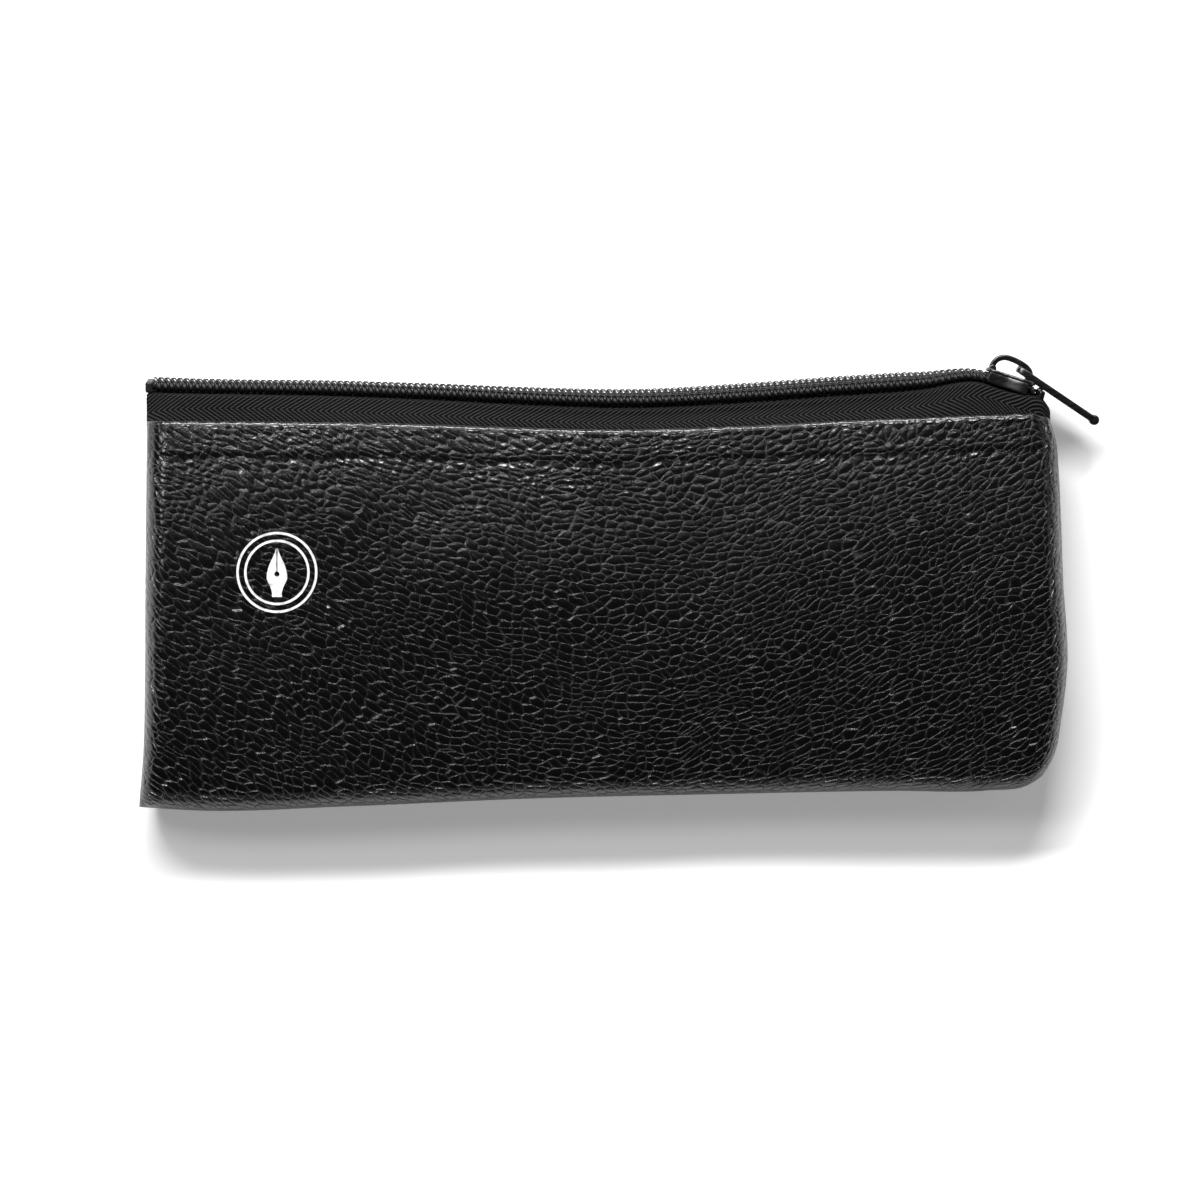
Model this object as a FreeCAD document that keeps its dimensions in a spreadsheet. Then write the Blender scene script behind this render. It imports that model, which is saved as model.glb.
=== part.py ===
"""Zip-top pen case: two pebbled leather panels sewn together inside out and turned, lined,
and closed along the top edge by a coil zip with a slider and a pull tab.

The case lies on its back panel. +X runs along the zip towards its closed end, +Y from the bottom
seam to the zip, +Z from the back panel to the front panel. The origin is in the middle of the
back panel, on the surface that the case lies on. Sizes are in millimetres, in the sheet Dims.
"""

import FreeCAD
import Part
import Sketcher
import math
import os

V = FreeCAD.Vector

DIMENSIONS = [
    ("leather_thick", 1.2, "leather of both panels"),
    ("lining_thick", 0.4, "woven lining"),
    ("lining_side", 7.6, "lining's distance in from the outline"),
    ("lining_drop", 3.8, "lining's distance in from both faces"),
    ("lining_corner", 5.0, "lining's bottom right corner"),
    ("lining_roll", 2.2, "lining's rolled edge"),
    ("seam_level", 8.5, "height of the side and bottom seams"),
    ("left_top_x", -106.5, "left side at the mouth"),
    ("left_bottom_x", -108.0, "left side at the bottom corner"),
    ("left_bottom_y", -45.9, "bottom left corner"),
    ("right_bottom_x", 104.6, "bottom right corner before rounding"),
    ("right_bottom_y", -41.4, "bottom right corner before rounding"),
    ("bulge_x", 108.5, "widest point of the right side"),
    ("bulge_y", -14.0, "widest point of the right side"),
    ("shoulder_x", 106.4, "right side under the mouth"),
    ("shoulder_y", 36.0, "right side under the mouth"),
    ("right_top_x", 103.7, "right side where the blank is cut off"),
    ("blank_top_y", 47.5, "panel blank before the mouth is trimmed"),
    ("corner_radius", 9.0, "bottom right corner"),
    ("bulge_radius", 60.0, "easing of the right side"),
    ("edge_roll", 5.5, "roll of the panels into the seams"),
    ("crown_middle", 20.0, "front panel's highest line"),
    ("crown_y", -5.0, "where that line lies"),
    ("crown_radius", 300.0, "front panel's arc from the bottom to the mouth"),
    ("rise_y", 22.0, "where the back panel starts to rise to the mouth"),
    ("rise_radius", 115.0, "back panel's rise"),
    ("section_reach", 62.0, "how far the section is drawn each way"),
    ("hem_depth", 7.0, "leather turned in at the mouth"),
    ("allowance", 6.0, "seam allowance inside the sides and bottom"),
    ("tape_thick", 0.6, "zip tape"),
    ("chain_roll", 10.0, "degrees that the chain faces the front"),
    ("element_pitch", 1.5, "one coil turn"),
    ("element_wire", 0.68, "coil monofilament"),
    ("element_reach", 3.1, "coil's outer side from the chain's middle"),
    ("element_head", 0.45, "coil's head past the chain's middle"),
    ("element_rise", 2.4, "coil's height above the tape"),
    ("coil_start_x", -104.6, "first coil turn"),
    ("coil_end_x", 100.4, "last coil turn"),
    ("core_wire", 0.9, "filler cord in the coil"),
    ("sewing_wire", 0.24, "thread that holds the coil to the tape"),
    ("slider_x", 94.3, "slider's middle at rest"),
    ("slider_y", 52.0, "slider's middle at rest"),
    ("slider_pitch", -18.0, "degrees that the slider's nose dips"),
    ("slider_half", 6.0, "half the slider plates' length"),
    ("slider_tail", 4.15, "half width of the plates at the tail"),
    ("slider_nose", 5.65, "half width of the plates at the nose"),
    ("plate_thick", 0.9, "slider plates"),
    ("plate_edge", 0.3, "rounding of the slider plates"),
    ("channel_low", -1.0, "channel floor from the tape's face"),
    ("channel_high", 2.8, "channel ceiling from the tape's face"),
    ("flange_low", 0.35, "flanges stop here to let the tape out"),
    ("flange_thick", 0.7, "slider flanges"),
    ("wedge_half", 0.85, "half width of the wedge"),
    ("coil_spread", 1.5, "how far the wedge parts each coil"),
    ("bail_height", 3.4, "bail above the upper plate"),
    ("bail_thick", 1.05, "bail bar"),
    ("bail_width", 2.2, "bail across the slider"),
    ("bail_left", -4.7, "bail's tail end"),
    ("bail_right", 4.3, "bail's nose end"),
    ("bail_corner", 1.5, "bail's upper corners"),
    ("pivot_x", 1.5, "pull's pivot along the slider"),
    ("pivot_height", 1.75, "pull's pivot above the upper plate"),
    ("pull_dip", 13.0, "degrees from the plate down to the pull"),
    ("pull_length", 22.6, "pivot to the far end"),
    ("pull_width", 6.4, "handle's width"),
    ("pull_thick", 1.5, "handle"),
    ("pull_rim", 2.0, "bead at the far end"),
    ("leg_thick", 1.0, "pull's head and legs"),
    ("slot_end", 7.6, "slot between the legs, from the pivot"),
    ("slot_width", 2.8, "slot between the legs"),
    ("stop_length", 1.8, "stops at the chain's ends"),
    ("stitch_pitch", 3.9, "sewing stitches"),
    ("stitch_length", 3.0, "sewing stitches"),
    ("thread", 0.4, "sewing thread"),
    ("emblem_x", -75.6, "printed emblem"),
    ("emblem_y", 9.2, "printed emblem"),
    ("emblem_radius", 9.4, "printed emblem's outer ring"),
    ("inner_ring", 7.6, "printed emblem's inner ring"),
    ("ring_width", 0.55, "printed emblem's rings"),
    ("print_thick", 0.08, "printed ink"),
]

# The mouth, where the leather is turned in: name of the place, x, y.
MOUTH = [
    ("start", -112.0, 44.6),
    ("left", -47.5, 44.0),
    ("dip", 7.0, 42.7),
    ("middle", 34.0, 43.5),
    ("rise", 74.0, 45.3),
    ("end", 112.0, 46.5),
]

# The zip from its bottom stop to the corner: place, x, y of the chain on the tape, how far the
# tape reaches across before it turns down, how full the mouth is there (0 is pinched flat in the
# side seam), how far the wedge parts the two halves, and the depth of tape sewn under the hem.
ZIP = [
    ("seam", -106.3, 51.6, 3.3, 0.2, 0.0, 0.0),
    ("corner", -104.6, 51.6, 3.6, 0.6, 0.0, 0.0),
    ("turn", -102.0, 51.5, 4.2, 0.9, 0.0, 0.0),
    ("open", -99.0, 51.4, 4.5, 1.0, 0.0, 6.0),
    ("left", -47.5, 50.3, 4.5, 1.0, 0.0, 6.0),
    ("dip", 7.0, 48.5, 4.5, 1.0, 0.0, 6.0),
    ("middle", 34.0, 49.9, 4.5, 1.0, 0.0, 6.0),
    ("rise", 74.0, 52.7, 4.5, 1.0, 0.0, 6.0),
    ("tail", 88.4, 53.92, 5.1, 1.0, 0.0, 6.0),
    ("wedge", 93.8, 52.16, 5.4, 1.0, 0.0, 6.0),
    ("parted", 97.7, 50.9, 4.7, 0.95, 1.5, 0.0),
    ("nose", 100.2, 50.08, 4.7, 0.9, 1.5, 0.0),
    ("tuck", 102.9, 49.4, 3.3, 0.3, 0.9, 0.0),
]

doc = FreeCAD.newDocument("pen_case")
sheet = doc.addObject("Spreadsheet::Sheet", "Dims")
finished = {}


def fill_sheet():
    """Writes the driving sizes and the two lists of places into the sheet."""
    rows = list(DIMENSIONS)
    for name, x, y in MOUTH:
        rows += [(f"mouth_{name}_x", x, "mouth"), (f"mouth_{name}_y", y, "mouth")]
    for name, *values in ZIP:
        for kind, value in zip(("x", "y", "reach", "full", "part", "sewn"), values):
            rows.append((f"zip_{name}_{kind}", value, "zip"))
    for row, (alias, value, note) in enumerate(rows, start=1):
        sheet.set(f"A{row}", alias)
        sheet.set(f"B{row}", str(value))
        sheet.set(f"C{row}", note)
        sheet.setAlias(f"B{row}", alias)
    doc.recompute()


def dim(alias):
    """A driving dimension from the sheet."""
    return float(sheet.get(alias))


def evaluate(expression):
    """The number that an expression of the sheet's cells gives now."""
    return float(sheet.evalExpression(expression.replace("Dims.", "")))


def keep(obj, name):
    """Labels obj and marks it as one of the parts to write."""
    obj.Label = name
    finished[name] = obj
    return obj


def new_body(label):
    body = doc.addObject("PartDesign::Body", label)
    doc.recompute()
    return body


def sketch_on(body, plane, name, level=None):
    """A sketch on one of the body's origin planes, lifted by the expression level."""
    sketch = body.newObject("Sketcher::SketchObject", name)
    for feature in body.Origin.OriginFeatures:
        if feature.Role == plane:
            sketch.AttachmentSupport = [(feature, "")]
    sketch.MapMode = "FlatFace"
    if level:
        sketch.setExpression("AttachmentOffset.Base.z", level)
    return sketch


def constrain(sketch, expression, *terms):
    """A dimension of the sketch that an expression of the sheet's cells drives."""
    index = sketch.addConstraint(Sketcher.Constraint(*terms, evaluate(expression)))
    sketch.setExpression(f"Constraints[{index}]", expression)


def pin(sketch, geometry, end, x, y):
    """Binds a point of the sketch to two expressions."""
    if x:
        constrain(sketch, x, "DistanceX", -1, 1, geometry, end)
    if y:
        constrain(sketch, y, "DistanceY", -1, 1, geometry, end)


def polygon(sketch, corners):
    """Draws a closed polygon whose corners are pairs of expressions."""
    values = [V(evaluate(x), evaluate(y), 0) for x, y in corners]
    first = sketch.GeometryCount
    for start, end in zip(values, values[1:] + values[:1]):
        sketch.addGeometry(Part.LineSegment(start, end), False)
    for i, (x, y) in enumerate(corners):
        after = first + (i + 1) % len(corners)
        sketch.addConstraint(Sketcher.Constraint("Coincident", first + i, 2, after, 1))
        pin(sketch, first + i, 1, x, y)


def rectangle(sketch, left, right, bottom, top):
    polygon(sketch, [(left, bottom), (right, bottom), (right, top), (left, top)])


def circle(sketch, x, y, radius):
    centre = V(evaluate(x), evaluate(y), 0)
    shape = Part.Circle(centre, V(0, 0, 1), evaluate(radius))
    index = sketch.addGeometry(shape, False)
    pin(sketch, index, 3, x, y)
    constrain(sketch, radius, "Radius", index)


def pad(body, sketch, length, both_ways=False):
    feature = body.newObject("PartDesign::Pad", sketch.Name + "_pad")
    feature.Profile = sketch
    feature.setExpression("Length", length)
    feature.Midplane = both_ways
    doc.recompute()
    return feature


def pocket_through(body, sketch):
    """Cuts the sketch right through the body, both ways."""
    before = body.Shape.Volume
    feature = body.newObject("PartDesign::Pocket", sketch.Name + "_cut")
    feature.Profile = sketch
    feature.Type = "ThroughAll"
    feature.Midplane = True
    doc.recompute()
    if not body.Shape.Volume < before:
        raise RuntimeError(f"{sketch.Name} cut nothing from {body.Name}")
    return feature


def fillet_edges(body, wanted, radius, name):
    """Rounds the edges of the body's last shape for which wanted(edge) holds."""
    base = body.Tip
    names = [f"Edge{i}" for i, edge in enumerate(base.Shape.Edges, 1) if wanted(edge)]
    if not names:
        raise RuntimeError(f"no edge to round on {body.Name}")
    feature = body.newObject("PartDesign::Fillet", name)
    feature.Base = (base, names)
    feature.setExpression("Radius", radius)
    doc.recompute()
    return feature


def boolean(kind, name, base, tool):
    """A Part::Cut, Part::Common or Part::Fuse of two objects."""
    result = doc.addObject(f"Part::{kind}", name)
    result.Base = base
    result.Tool = tool
    doc.recompute()
    return result


def box(name, low, high):
    """A Part::Box between two corners, each a triple of expressions."""
    block = doc.addObject("Part::Box", name)
    for side, a, b in zip(("Length", "Width", "Height"), low, high):
        block.setExpression(side, f"({b}) - ({a})")
    for axis, a in zip("xyz", low):
        block.setExpression(f"Placement.Base.{axis}", a)
    doc.recompute()
    return block


def part_feature(name, shape):
    feature = doc.addObject("Part::Feature", name)
    feature.Shape = shape
    return feature


# ---------------------------------------------------------------------------------------------
# The case's form
# ---------------------------------------------------------------------------------------------


def outline(side, beyond):
    """The panel blank's corners, moved in by side, with the open end moved out by beyond."""
    top = f"Dims.blank_top_y + {beyond}"
    return [
        (f"Dims.left_top_x + ({side})", top),
        (f"Dims.left_bottom_x + ({side})", f"Dims.left_bottom_y + ({side})"),
        (f"Dims.right_bottom_x - ({side})", f"Dims.right_bottom_y + ({side})"),
        (f"Dims.bulge_x - ({side})", "Dims.bulge_y"),
        (f"Dims.shoulder_x - ({side})", "Dims.shoulder_y"),
        (f"Dims.right_top_x - ({side})", top),
    ]


def crown_height(y, drop=0.0):
    """Height of the front panel's outside at y, less drop."""
    radius = dim("crown_radius")
    return dim("crown_middle") - drop - radius + math.sqrt(radius**2 - (y - dim("crown_y")) ** 2)


def floor_height(y, lift=0.0):
    """Height of the back panel's outside at y, plus lift."""
    along = max(0.0, y - dim("rise_y"))
    radius = dim("rise_radius")
    return lift + radius - math.sqrt(radius**2 - along**2)


def draw_above_crown(sketch, drop):
    """The region above the front panel, seen along X."""
    reach = dim("section_reach")
    lowered = evaluate(drop)
    ends = [V(y, crown_height(y, lowered), 0) for y in (-reach, reach)]
    summit = V(dim("crown_y"), dim("crown_middle") - lowered, 0)
    lid = dim("crown_middle") + 30
    corners = [ends[1], V(reach, lid, 0), V(-reach, lid, 0), ends[0]]
    arc = sketch.addGeometry(Part.Arc(ends[0], summit, ends[1]), False)
    for a, b in zip(corners, corners[1:]):
        sketch.addGeometry(Part.LineSegment(a, b), False)
    pin(sketch, arc, 3, "Dims.crown_y", f"Dims.crown_middle - Dims.crown_radius - ({drop})")
    constrain(sketch, "Dims.crown_radius", "Radius", arc)
    close_loop(sketch, arc, 4)


def draw_below_floor(sketch, lift):
    """The region below the back panel, seen along X."""
    reach = dim("section_reach")
    raised = evaluate(lift)
    start = V(dim("rise_y"), raised, 0)
    end = V(reach, floor_height(reach, raised), 0)
    half = (dim("rise_y") + reach) / 2
    middle = V(half, floor_height(half, raised), 0)
    corners = [end, V(reach, -10, 0), V(-reach, -10, 0), V(-reach, raised, 0), start]
    arc = sketch.addGeometry(Part.Arc(start, middle, end), False)
    for a, b in zip(corners, corners[1:]):
        sketch.addGeometry(Part.LineSegment(a, b), False)
    pin(sketch, arc, 3, "Dims.rise_y", f"Dims.rise_radius + ({lift})")
    constrain(sketch, "Dims.rise_radius", "Radius", arc)
    close_loop(sketch, arc, 5)


def close_loop(sketch, arc, pieces):
    """Joins an arc, whose start and end may be either way round, to the lines after it."""
    points = [sketch.getPoint(arc, 1), sketch.getPoint(arc, 2)]
    following = sketch.getPoint(arc + 1, 1)
    end = 2 if points[1].isEqual(following, 1e-6) else 1
    sketch.addConstraint(Sketcher.Constraint("Coincident", arc, end, arc + 1, 1))
    for i in range(arc + 1, arc + pieces - 1):
        sketch.addConstraint(Sketcher.Constraint("Coincident", i, 2, i + 1, 1))
    last = arc + pieces - 1
    sketch.addConstraint(Sketcher.Constraint("Coincident", last, 2, arc, 3 - end))
    for i in range(arc + 1, arc + pieces):
        line = sketch.Geometry[i]
        flat = abs(line.StartPoint.y - line.EndPoint.y) < 1e-9
        sketch.addConstraint(Sketcher.Constraint("Horizontal" if flat else "Vertical", i))


def pillow(name, side, height, corner, roll, beyond="0"):
    """The case's form moved in by side all round and by height from both faces."""
    body = new_body(name)
    plan = sketch_on(body, "XY_Plane", name + "_plan")
    polygon(plan, outline(side, beyond))
    pad(body, plan, "Dims.crown_middle + 5")
    section = sketch_on(body, "YZ_Plane", name + "_section")
    draw_above_crown(section, height)
    draw_below_floor(section, height)
    pocket_through(body, section)
    easing = [
        ("right_bottom", f"Dims.right_bottom_x - ({side})", f"Dims.right_bottom_y + ({side})"),
        ("bulge", f"Dims.bulge_x - ({side})", "Dims.bulge_y"),
        ("shoulder", f"Dims.shoulder_x - ({side})", "Dims.shoulder_y"),
    ]
    for place, x, y in easing:
        radius = corner if place == "right_bottom" else "Dims.bulge_radius"
        stands = upright_at(evaluate(x), evaluate(y))
        fillet_edges(body, stands, radius, f"{name}_{place}")
    fillet_edges(body, rim_edge(evaluate(f"Dims.blank_top_y + {beyond}")), roll, name + "_roll")
    return body


def upright_at(x, y):
    """A test for the vertical edge at (x, y)."""

    def test(edge):
        if len(edge.Vertexes) != 2:
            return False
        start, end = (v.Point for v in edge.Vertexes)
        upright = math.hypot(start.x - end.x, start.y - end.y) < 0.01
        return upright and math.hypot(start.x - x, start.y - y) < 0.1

    return test


def rim_edge(top):
    """A test for the edges round both faces, apart from those at the open end."""

    def test(edge):
        if len(edge.Vertexes) != 2:
            return False
        start, end = (v.Point for v in edge.Vertexes)
        upright = math.hypot(start.x - end.x, start.y - end.y) < 0.01
        at_end = min(start.y, end.y) > top - 0.01
        across = abs(start.x - end.x) > 150 and abs(start.y - end.y) < 0.01
        return not upright and not at_end and not across

    return test


def mouth_strip(name, low, high):
    """A block that follows the mouth, from low to high measured along Y from the fold."""
    body = new_body(name)
    sketch = sketch_on(body, "XY_Plane", name + "_plan", "-5")
    lower = [(f"Dims.mouth_{p}_x", f"Dims.mouth_{p}_y + ({low})") for p, *_ in MOUTH]
    upper = [(f"Dims.mouth_{p}_x", f"Dims.mouth_{p}_y + ({high})") for p, *_ in MOUTH]
    polygon(sketch, lower + upper[::-1])
    pad(body, sketch, "Dims.crown_middle + 20")
    return body


def allowance_ring(name, bottom, top):
    """The leather turned in along the sides and bottom, between two levels."""
    body = new_body(name)
    plan = sketch_on(body, "XY_Plane", name + "_plan", bottom)
    outer = outline("Dims.leather_thick - 0.2", "0")
    inner = outline("Dims.leather_thick + Dims.allowance", "1")
    polygon(plan, outer)
    pad(body, plan, f"({top}) - ({bottom})")
    hole = sketch_on(body, "XY_Plane", name + "_hole", bottom)
    polygon(hole, inner)
    pocket_through(body, hole)
    return body


def make_panels():
    """Both leather panels: skin, hem turned in at the mouth, and seam allowances."""
    skin_out = pillow("skin_outside", "0", "0", "Dims.corner_radius", "Dims.edge_roll")
    thick = "Dims.leather_thick"
    skin_in = pillow(
        "skin_inside", thick, thick, f"Dims.corner_radius - {thick}",
        f"Dims.edge_roll - {thick}", "0.5",
    )
    hem_in = pillow(
        "hem_inside", f"2 * {thick}", f"2 * {thick}", f"Dims.corner_radius - 2 * {thick}",
        f"Dims.edge_roll - 2 * {thick}", "1",
    )
    shell = boolean("Cut", "skin", skin_out, skin_in)
    lining_layer = boolean("Cut", "hem_layer", skin_in, hem_in)
    hem_zone = mouth_strip("hem_zone", "-Dims.hem_depth", "0")
    hem = boolean("Common", "hem", lining_layer, hem_zone)
    whole = boolean("Fuse", "skin_and_hem", shell, hem)
    beyond = mouth_strip("beyond_mouth", "0", "20")
    trimmed = boolean("Cut", "trimmed_skin", whole, beyond)
    keep_clear = mouth_strip("allowance_end", "-Dims.hem_depth - 1.5", "20")
    seam = "Dims.seam_level"
    levels = {
        "front_panel": (seam, f"{seam} + {thick}", seam, "30"),
        "back_panel": (f"{seam} - {thick}", seam, "-30", seam),
    }
    for name, (bottom, top, low, high) in levels.items():
        half = box(name + "_half", ("-150", "-80", low), ("150", "80", high))
        skin_half = boolean("Common", name + "_skin", trimmed, half)
        ring = allowance_ring(name + "_ring", bottom, top)
        ring = boolean("Cut", name + "_allowance", ring, keep_clear)
        panel = boolean("Fuse", name + "_whole", skin_half, ring)
        keep(panel, name)


def make_linings():
    """Both halves of the lining, inside the seam allowances and the sewn zip tape."""
    outer = pillow(
        "lining_outside", "Dims.lining_side", "Dims.lining_drop", "Dims.lining_corner",
        "Dims.lining_roll",
    )
    inner = pillow(
        "lining_inside", "Dims.lining_side + Dims.lining_thick",
        "Dims.lining_drop + Dims.lining_thick", "Dims.lining_corner - Dims.lining_thick",
        "Dims.lining_roll - Dims.lining_thick", "0.5",
    )
    shell = boolean("Cut", "lining_shell", outer, inner)
    beyond = mouth_strip("beyond_lining", "-0.6", "20")
    trimmed = boolean("Cut", "lining_trimmed", shell, beyond)
    gap = "0.1"
    upper = box("lining_upper", ("-150", "-80", f"Dims.seam_level + {gap}"), ("150", "80", "30"))
    lower = box("lining_lower", ("-150", "-80", "-5"), ("150", "80", f"Dims.seam_level - {gap}"))
    keep(boolean("Common", "lining_front_half", trimmed, upper), "lining_front")
    keep(boolean("Common", "lining_back_half", trimmed, lower), "lining_back")


# ---------------------------------------------------------------------------------------------
# Zip
# ---------------------------------------------------------------------------------------------


class Station:
    """The zip's section at one place, on the front half (side 1) or the back half (side -1)."""

    def __init__(self, x, y, reach, full, part, sewn):
        self.x = x
        self.y = y
        self.reach = reach
        self.full = full
        self.part = part
        self.sewn = sewn

    def at(self, side, across, height):
        """The point across the tape from the chain's middle and height above the tape."""
        roll = math.radians(dim("chain_roll"))
        offset = side * (across + self.part)
        y = self.y - offset * math.sin(roll) + height * math.cos(roll)
        z = dim("seam_level") + offset * math.cos(roll) + height * math.sin(roll)
        return V(self.x, y, z)


def stations():
    kinds = ("x", "y", "reach", "full", "part", "sewn")
    return [Station(*[dim(f"zip_{name}_{kind}") for kind in kinds]) for name, *_ in ZIP]


def between(x):
    """The zip's section at any x, from the two stations beside it."""
    rows = stations()
    for a, b in zip(rows, rows[1:]):
        if a.x <= x <= b.x:
            t = (x - a.x) / (b.x - a.x)
            pairs = zip(vars(a).values(), vars(b).values())
            return Station(*[p + (q - p) * t for p, q in pairs])
    raise ValueError(f"no zip at {x}")


def mouth_y(x):
    """Y of the fold at x."""
    places = [(dim(f"mouth_{p}_x"), dim(f"mouth_{p}_y")) for p, *_ in MOUTH]
    for (xa, ya), (xb, yb) in zip(places, places[1:]):
        if xa <= x <= xb:
            return ya + (yb - ya) * (x - xa) / (xb - xa)
    raise ValueError(f"no mouth at {x}")


def under_hem(side, y):
    """Height of the tape's middle where it lies on the hem, at y."""
    inside = 2 * dim("leather_thick") + 0.1 + dim("tape_thick") / 2
    return crown_height(y, inside) if side > 0 else floor_height(y, inside)


def tape_line(station, side):
    """The middle of the tape from the coil's head to its sewn edge, as points (y, z)."""
    fold = mouth_y(station.x) + 0.25
    half = dim("tape_thick") / 2
    seam = dim("seam_level")
    usual_reach = dim("zip_open_reach")
    head = station.at(side, dim("element_head"), -half)
    round_slider = max(0.0, station.reach + station.part - usual_reach)
    shoulder = station.at(side, station.reach - 0.9 / (1 + round_slider), -half)
    turned = station.at(side, station.reach, -half - 0.9 - 0.8 * round_slider)
    level = seam + station.full * (under_hem(side, fold) - seam)
    deep = fold - max(0.1, station.sewn)
    deep_level = seam + station.full * (under_hem(side, deep) - seam)
    points = [(p.y, p.z) for p in (head, shoulder, turned)]
    return points + [(fold + 0.3, level), (deep, deep_level)]


def thicken(line, thickness):
    """A closed polygon of the given thickness about an open line of (y, z) points."""
    sides = ([], [])
    for i, point in enumerate(line):
        before = line[max(0, i - 1)]
        after = line[min(len(line) - 1, i + 1)]
        span = V(after[0] - before[0], after[1] - before[1], 0).normalize()
        for out, row in zip((1, -1), sides):
            row.append((point[0] - span.y * out * thickness / 2,
                        point[1] + span.x * out * thickness / 2))
    return sides[0] + sides[1][::-1]


def make_tape(name, side):
    """One zip tape: under the coil, turned down to the mouth and sewn under the hem."""
    wires = []
    for station in stations():
        corners = thicken(tape_line(station, side), dim("tape_thick"))
        points = [V(station.x, y, z) for y, z in corners]
        wires.append(Part.makePolygon(points + points[:1]))
    keep(part_feature(name, Part.makeLoft(wires, True, True)), name)


def wire_along(across, height, radius, side, first, last):
    """A cord that follows the chain, from x first to x last."""
    inner = [s.x for s in stations() if first < s.x < last]
    rings = []
    for x in [first] + inner + [last]:
        centre = between(x).at(side, across, height)
        ring = Part.makeCircle(radius, centre, V(1, 0, 0))
        rings.append(Part.Wire([ring]))
    return Part.makeLoft(rings, True, True)


def make_cords(half, side):
    """The filler cord inside one coil, and the two rows of thread that hold it to the tape."""
    first = dim("coil_start_x") - 0.3
    last = dim("coil_end_x") + 0.3
    middle = (dim("element_reach") - dim("element_head")) / 2
    core = wire_along(middle, dim("element_rise") / 2, dim("core_wire") / 2, side, first, last)
    keep(part_feature(f"coil_core_{half}", core), f"coil_core_{half}")
    radius = dim("sewing_wire") / 2
    rows = []
    for across in (middle - 0.5, middle + 0.7):
        height = dim("element_rise") + radius
        rows.append(wire_along(across, height, radius, side, first, last))
    name = f"coil_stitching_{half}"
    keep(part_feature(name, Part.makeCompound(rows)), name)


def coil_turn():
    """One closed turn of the coil about the origin, across X and up Y, in the plane Z = 0."""
    radius = dim("element_wire") / 2
    width = dim("element_reach") + dim("element_head") - 2 * radius
    height = dim("element_rise") - 2 * radius
    bend = height / 2
    run = width - height
    turn = None
    for way in (1, -1):
        centre = V(way * run / 2, 0, 0)
        arch = Part.makeTorus(bend, radius, centre, V(0, 0, 1), -180, 180, 180)
        arch.rotate(centre, V(0, 0, 1), -90 * way)
        bar = Part.makeCylinder(radius, run, V(-run / 2, way * bend, 0), V(1, 0, 0))
        for piece in (arch, bar):
            turn = piece if turn is None else turn.fuse(piece)
    return turn


def make_coil(name, side):
    """One coil of the zip: a turn at every pitch, the back coil half a pitch on."""
    pitch = dim("element_pitch")
    first = dim("coil_start_x") + (pitch / 2 if side < 0 else 0)
    count = int((dim("coil_end_x") - first) / pitch) + 1
    middle = (dim("element_reach") - dim("element_head")) / 2
    roll = math.radians(dim("chain_roll"))
    across = V(0, -math.sin(roll), math.cos(roll)) * side
    up = V(0, math.cos(roll), math.sin(roll))
    along = across.cross(up)
    turn = coil_turn()
    turns = []
    for i in range(count):
        x = first + i * pitch
        place = between(x).at(side, middle, dim("element_rise") / 2)
        matrix = FreeCAD.Matrix(
            across.x, up.x, along.x, place.x,
            across.y, up.y, along.y, place.y,
            across.z, up.z, along.z, place.z,
        )
        turns.append(turn.transformed(matrix))
    keep(part_feature(name, Part.makeCompound(turns)), name)


def chain_frame(x, side, across, height):
    """A placement on the chain: its x across the tape, y out of the zip, z along the zip."""
    last = dim("zip_tuck_x")
    ahead = between(min(x + 0.5, last)).at(side, 0, 0)
    behind = between(max(x - 0.5, dim("zip_seam_x"))).at(side, 0, 0)
    along = (ahead - behind).normalize()
    roll = math.radians(dim("chain_roll"))
    up = V(0, math.cos(roll), math.sin(roll))
    sideways = up.cross(along).normalize()
    up = along.cross(sideways)
    place = between(x).at(side, across, height)
    matrix = FreeCAD.Matrix(
        sideways.x, up.x, along.x, place.x,
        sideways.y, up.y, along.y, place.y,
        sideways.z, up.z, along.z, place.z,
    )
    return FreeCAD.Placement(matrix)


def rounded_block(name, width, height, length, edge):
    """A block with rounded edges, centred across X, standing on Y = 0, centred along Z."""
    body = new_body(name + "_block")
    sketch = sketch_on(body, "XY_Plane", name + "_plan")
    rectangle(sketch, f"-({width}) / 2", f"({width}) / 2", "0", height)
    pad(body, sketch, length, True)
    fillet_edges(body, lambda edge: True, edge, name + "_edge")
    return body


def make_stops():
    """The stop that joins both halves at the left, and the two small ones at the right."""
    clear = 0.03
    bottom = rounded_block(
        "zip_bottom_stop", "2 * Dims.element_reach + 0.4", "Dims.element_rise + 0.2",
        "Dims.stop_length", "0.5",
    )
    x = dim("coil_start_x") - dim("element_wire") / 2 - dim("stop_length") / 2 - 0.1
    bottom.Placement = chain_frame(x, 1, 0, clear)
    keep(bottom, "zip_bottom_stop")
    for half, side in (("front", 1), ("back", -1)):
        name = f"zip_top_stop_{half}"
        stop = rounded_block(
            name, "Dims.element_reach - 0.6", "Dims.element_rise", "Dims.stop_length - 0.4", "0.4"
        )
        across = (dim("element_reach") - dim("element_head")) / 2 - 0.2
        stop.Placement = chain_frame(dim("coil_end_x") + 1.5, side, across, 0.1)
        keep(stop, name)


# ---------------------------------------------------------------------------------------------
# Slider and pull
# ---------------------------------------------------------------------------------------------


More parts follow.
